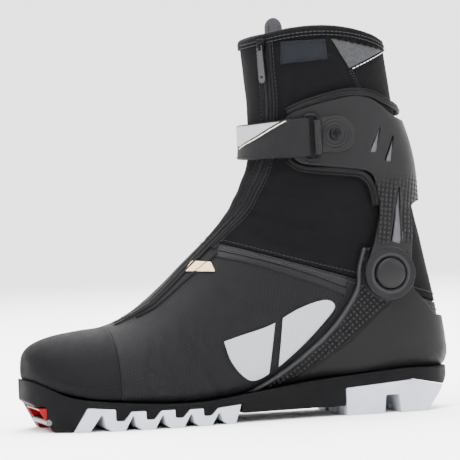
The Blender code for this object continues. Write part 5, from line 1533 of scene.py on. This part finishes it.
def build_anchor():
    plate = soften(copy_of("strap_anchor_plate", "anchor_plate_moulded", CAP_PLASTIC), 0.32, 3)
    s, u = locate([67.0], [198.0])
    normal = skin_normal(s, u)[0]
    middle = skin(s, u, 6.8)[0]

    # the ring hollows, which the plastic material also paints darker as painted shade
    def rings(points, normals):
        away = points - middle
        radius = np.linalg.norm(away - np.outer(away @ normal, normal), axis=1)
        hollow = 0.5 - 0.5 * np.cos((radius - 5.6) * 2 * math.pi / 2.4)
        in_rings = ease(5.0, 6.0, radius) * (1 - ease(11.4, 12.2, radius)) * ease(0.7, 0.9, normals @ normal)
        return -0.28 * hollow * in_rings

    relief(plate, rings)
    place(plate, "cuff", "shell_plastic", "strap_anchor_plate")

    head = skin(s, u, 7.2)[0]
    screw = turned("anchor_screw_head", dome(4.2, 0.6, 1.5, 12) + [(4.2, 0.0), (0.0, 0.0)],
                   head, normal, DARK_STEEL)
    screw.modifiers.new("weld", "WELD").merge_threshold = 0.00005
    for long, wide in ((5.2, 1.0), (1.0, 5.2)):
        corners = [(x * long / 2, y * wide / 2, z * 1.5)
                   for z in (-1, 1) for x, y in ((-1, -1), (1, -1), (1, 1), (-1, 1))]
        cutter = solid("slot", corners, tube_faces(2, 4, ends=True))
        cutter.rotation_mode = "QUATERNION"
        cutter.rotation_quaternion = Vector((0, 0, 1)).rotation_difference(Vector(normal))
        cutter.location = Vector(head + normal * 2.6) * MM
        boolean(screw, cutter)
    settle(screw)
    screw.data.set_sharp_from_angle(angle=math.radians(32))
    place(screw, "cuff", "steel", "anchor_screw")

    s, u = locate([60.0], [197.0], True)
    foot = skin(s, u, float(strap_depth(60.0)) + STRAP_THICKNESS + 0.8)[0]
    stud = turned("strap_stud_head", dome(4.6, 0.4, 1.3, 12) + [(4.6, 0.0), (0.0, 0.0)],
                  foot, skin_normal(s, u)[0], DARK_STEEL)
    place(stud, "cuff", "steel", "strap_stud_medial")


def build_small_pieces():
    """Pieces that keep their CAD form, with rounded edges and a real finish."""
    for node, material, voxel, slot in (("zip_slider", DARK_STEEL, 0.16, "zip_black"),
                                        ("zip_puller", PULLER, 0.14, "puller_grey")):
        place(soften(copy_of(node, node + "_moulded", material), voxel, 2), BODY_OF[node], slot, node)
    for node, material in (("insole_board", BOARD), ("shank", STEEL)):
        mesh = frame["nodes"][node].data
        mesh.materials.clear()
        mesh.materials.append(material)


# ---------------------------------------------------------------- floor, light and camera
def build_stage():
    """Pale floor that curves up into a backdrop all the way round."""
    flat, bend_r, wall = 3.0, 1.4, 4.5
    profile = [(0.02, 0.0), (0.6, 0.0), (1.6, 0.0), (flat, 0.0)]
    profile += [(flat + bend_r * math.sin(a), bend_r - bend_r * math.cos(a))
                for a in np.linspace(0.1, math.pi / 2, 14)]
    profile += [(flat + bend_r, wall)]
    sides = 96
    angles = np.arange(sides) * 2 * math.pi / sides
    points = [(r * math.cos(a), r * math.sin(a), z) for r, z in profile for a in angles]
    mesh = bpy.data.meshes.new("floor")
    mesh.from_pydata(points, [], [tuple(range(sides))] + tube_faces(len(profile), sides))
    mesh.shade_smooth()
    recipe = Recipe("floor_paper", "fcfcfc", 0.9).set(Specular_IOR_Level=0.05)
    mesh.materials.append(recipe.bump(recipe.noise(30.0), 0.02).material)
    linked("floor", mesh)


def area_light(name, location, target, size, power):
    data = bpy.data.lights.new(name, "AREA")
    data.size = size
    data.energy = power
    lamp = linked(name, data)
    lamp.location = location
    lamp.rotation_euler = (Vector(target) - Vector(location)).to_track_quat("-Z", "Y").to_euler()


def build_lights():
    middle = (0.0, 0.0, 0.12)
    area_light("soft_key", (-1.0, -1.3, 2.0), middle, 1.5, 85.0)
    area_light("soft_fill", (1.6, -1.4, 1.2), middle, 1.4, 25.0)
    area_light("soft_top", (0.0, 0.2, 2.3), (0.0, 0.0, 0.0), 2.2, 210.0)
    area_light("soft_rear", (0.6, 1.6, 1.6), middle, 1.4, 60.0)
    world = bpy.data.worlds.new("studio")
    world.use_nodes = True
    sky = world.node_tree.nodes["Background"].inputs
    sky["Color"].default_value = (1.0, 1.0, 1.0, 1.0)
    sky["Strength"].default_value = 1.6
    bpy.context.scene.world = world


def build_camera():
    data = bpy.data.cameras.new("camera")
    data.sensor_width = 36.0
    data.lens = 221.2
    camera = linked("camera", data)
    location, target = Vector((-0.5176, -1.9319, 0.165)), Vector((0.0, 0.0, 0.1335))
    ahead = (target - location).normalized()
    right = ahead.cross(Vector((0.0, 0.0, 1.0))).normalized()
    up = right.cross(ahead)
    roll = math.radians(2.4)
    turned_right = right * math.cos(roll) - up * math.sin(roll)
    turned_up = right * math.sin(roll) + up * math.cos(roll)
    camera.matrix_world = Matrix((turned_right, turned_up, -ahead)).transposed().to_4x4()
    camera.location = location
    bpy.context.scene.camera = camera


build_stage()
build_lights()
build_camera()
build_upper()
build_linings()
build_seams()
build_bands()
build_prints()
build_zip()
build_rim()
build_pull_tab()
build_sole()
build_chassis()
build_cuff()
build_lips()
build_pivots()
build_strap()
build_anchor()
build_small_pieces()
for cutter in CUTTERS:
    bpy.data.objects.remove(cutter)
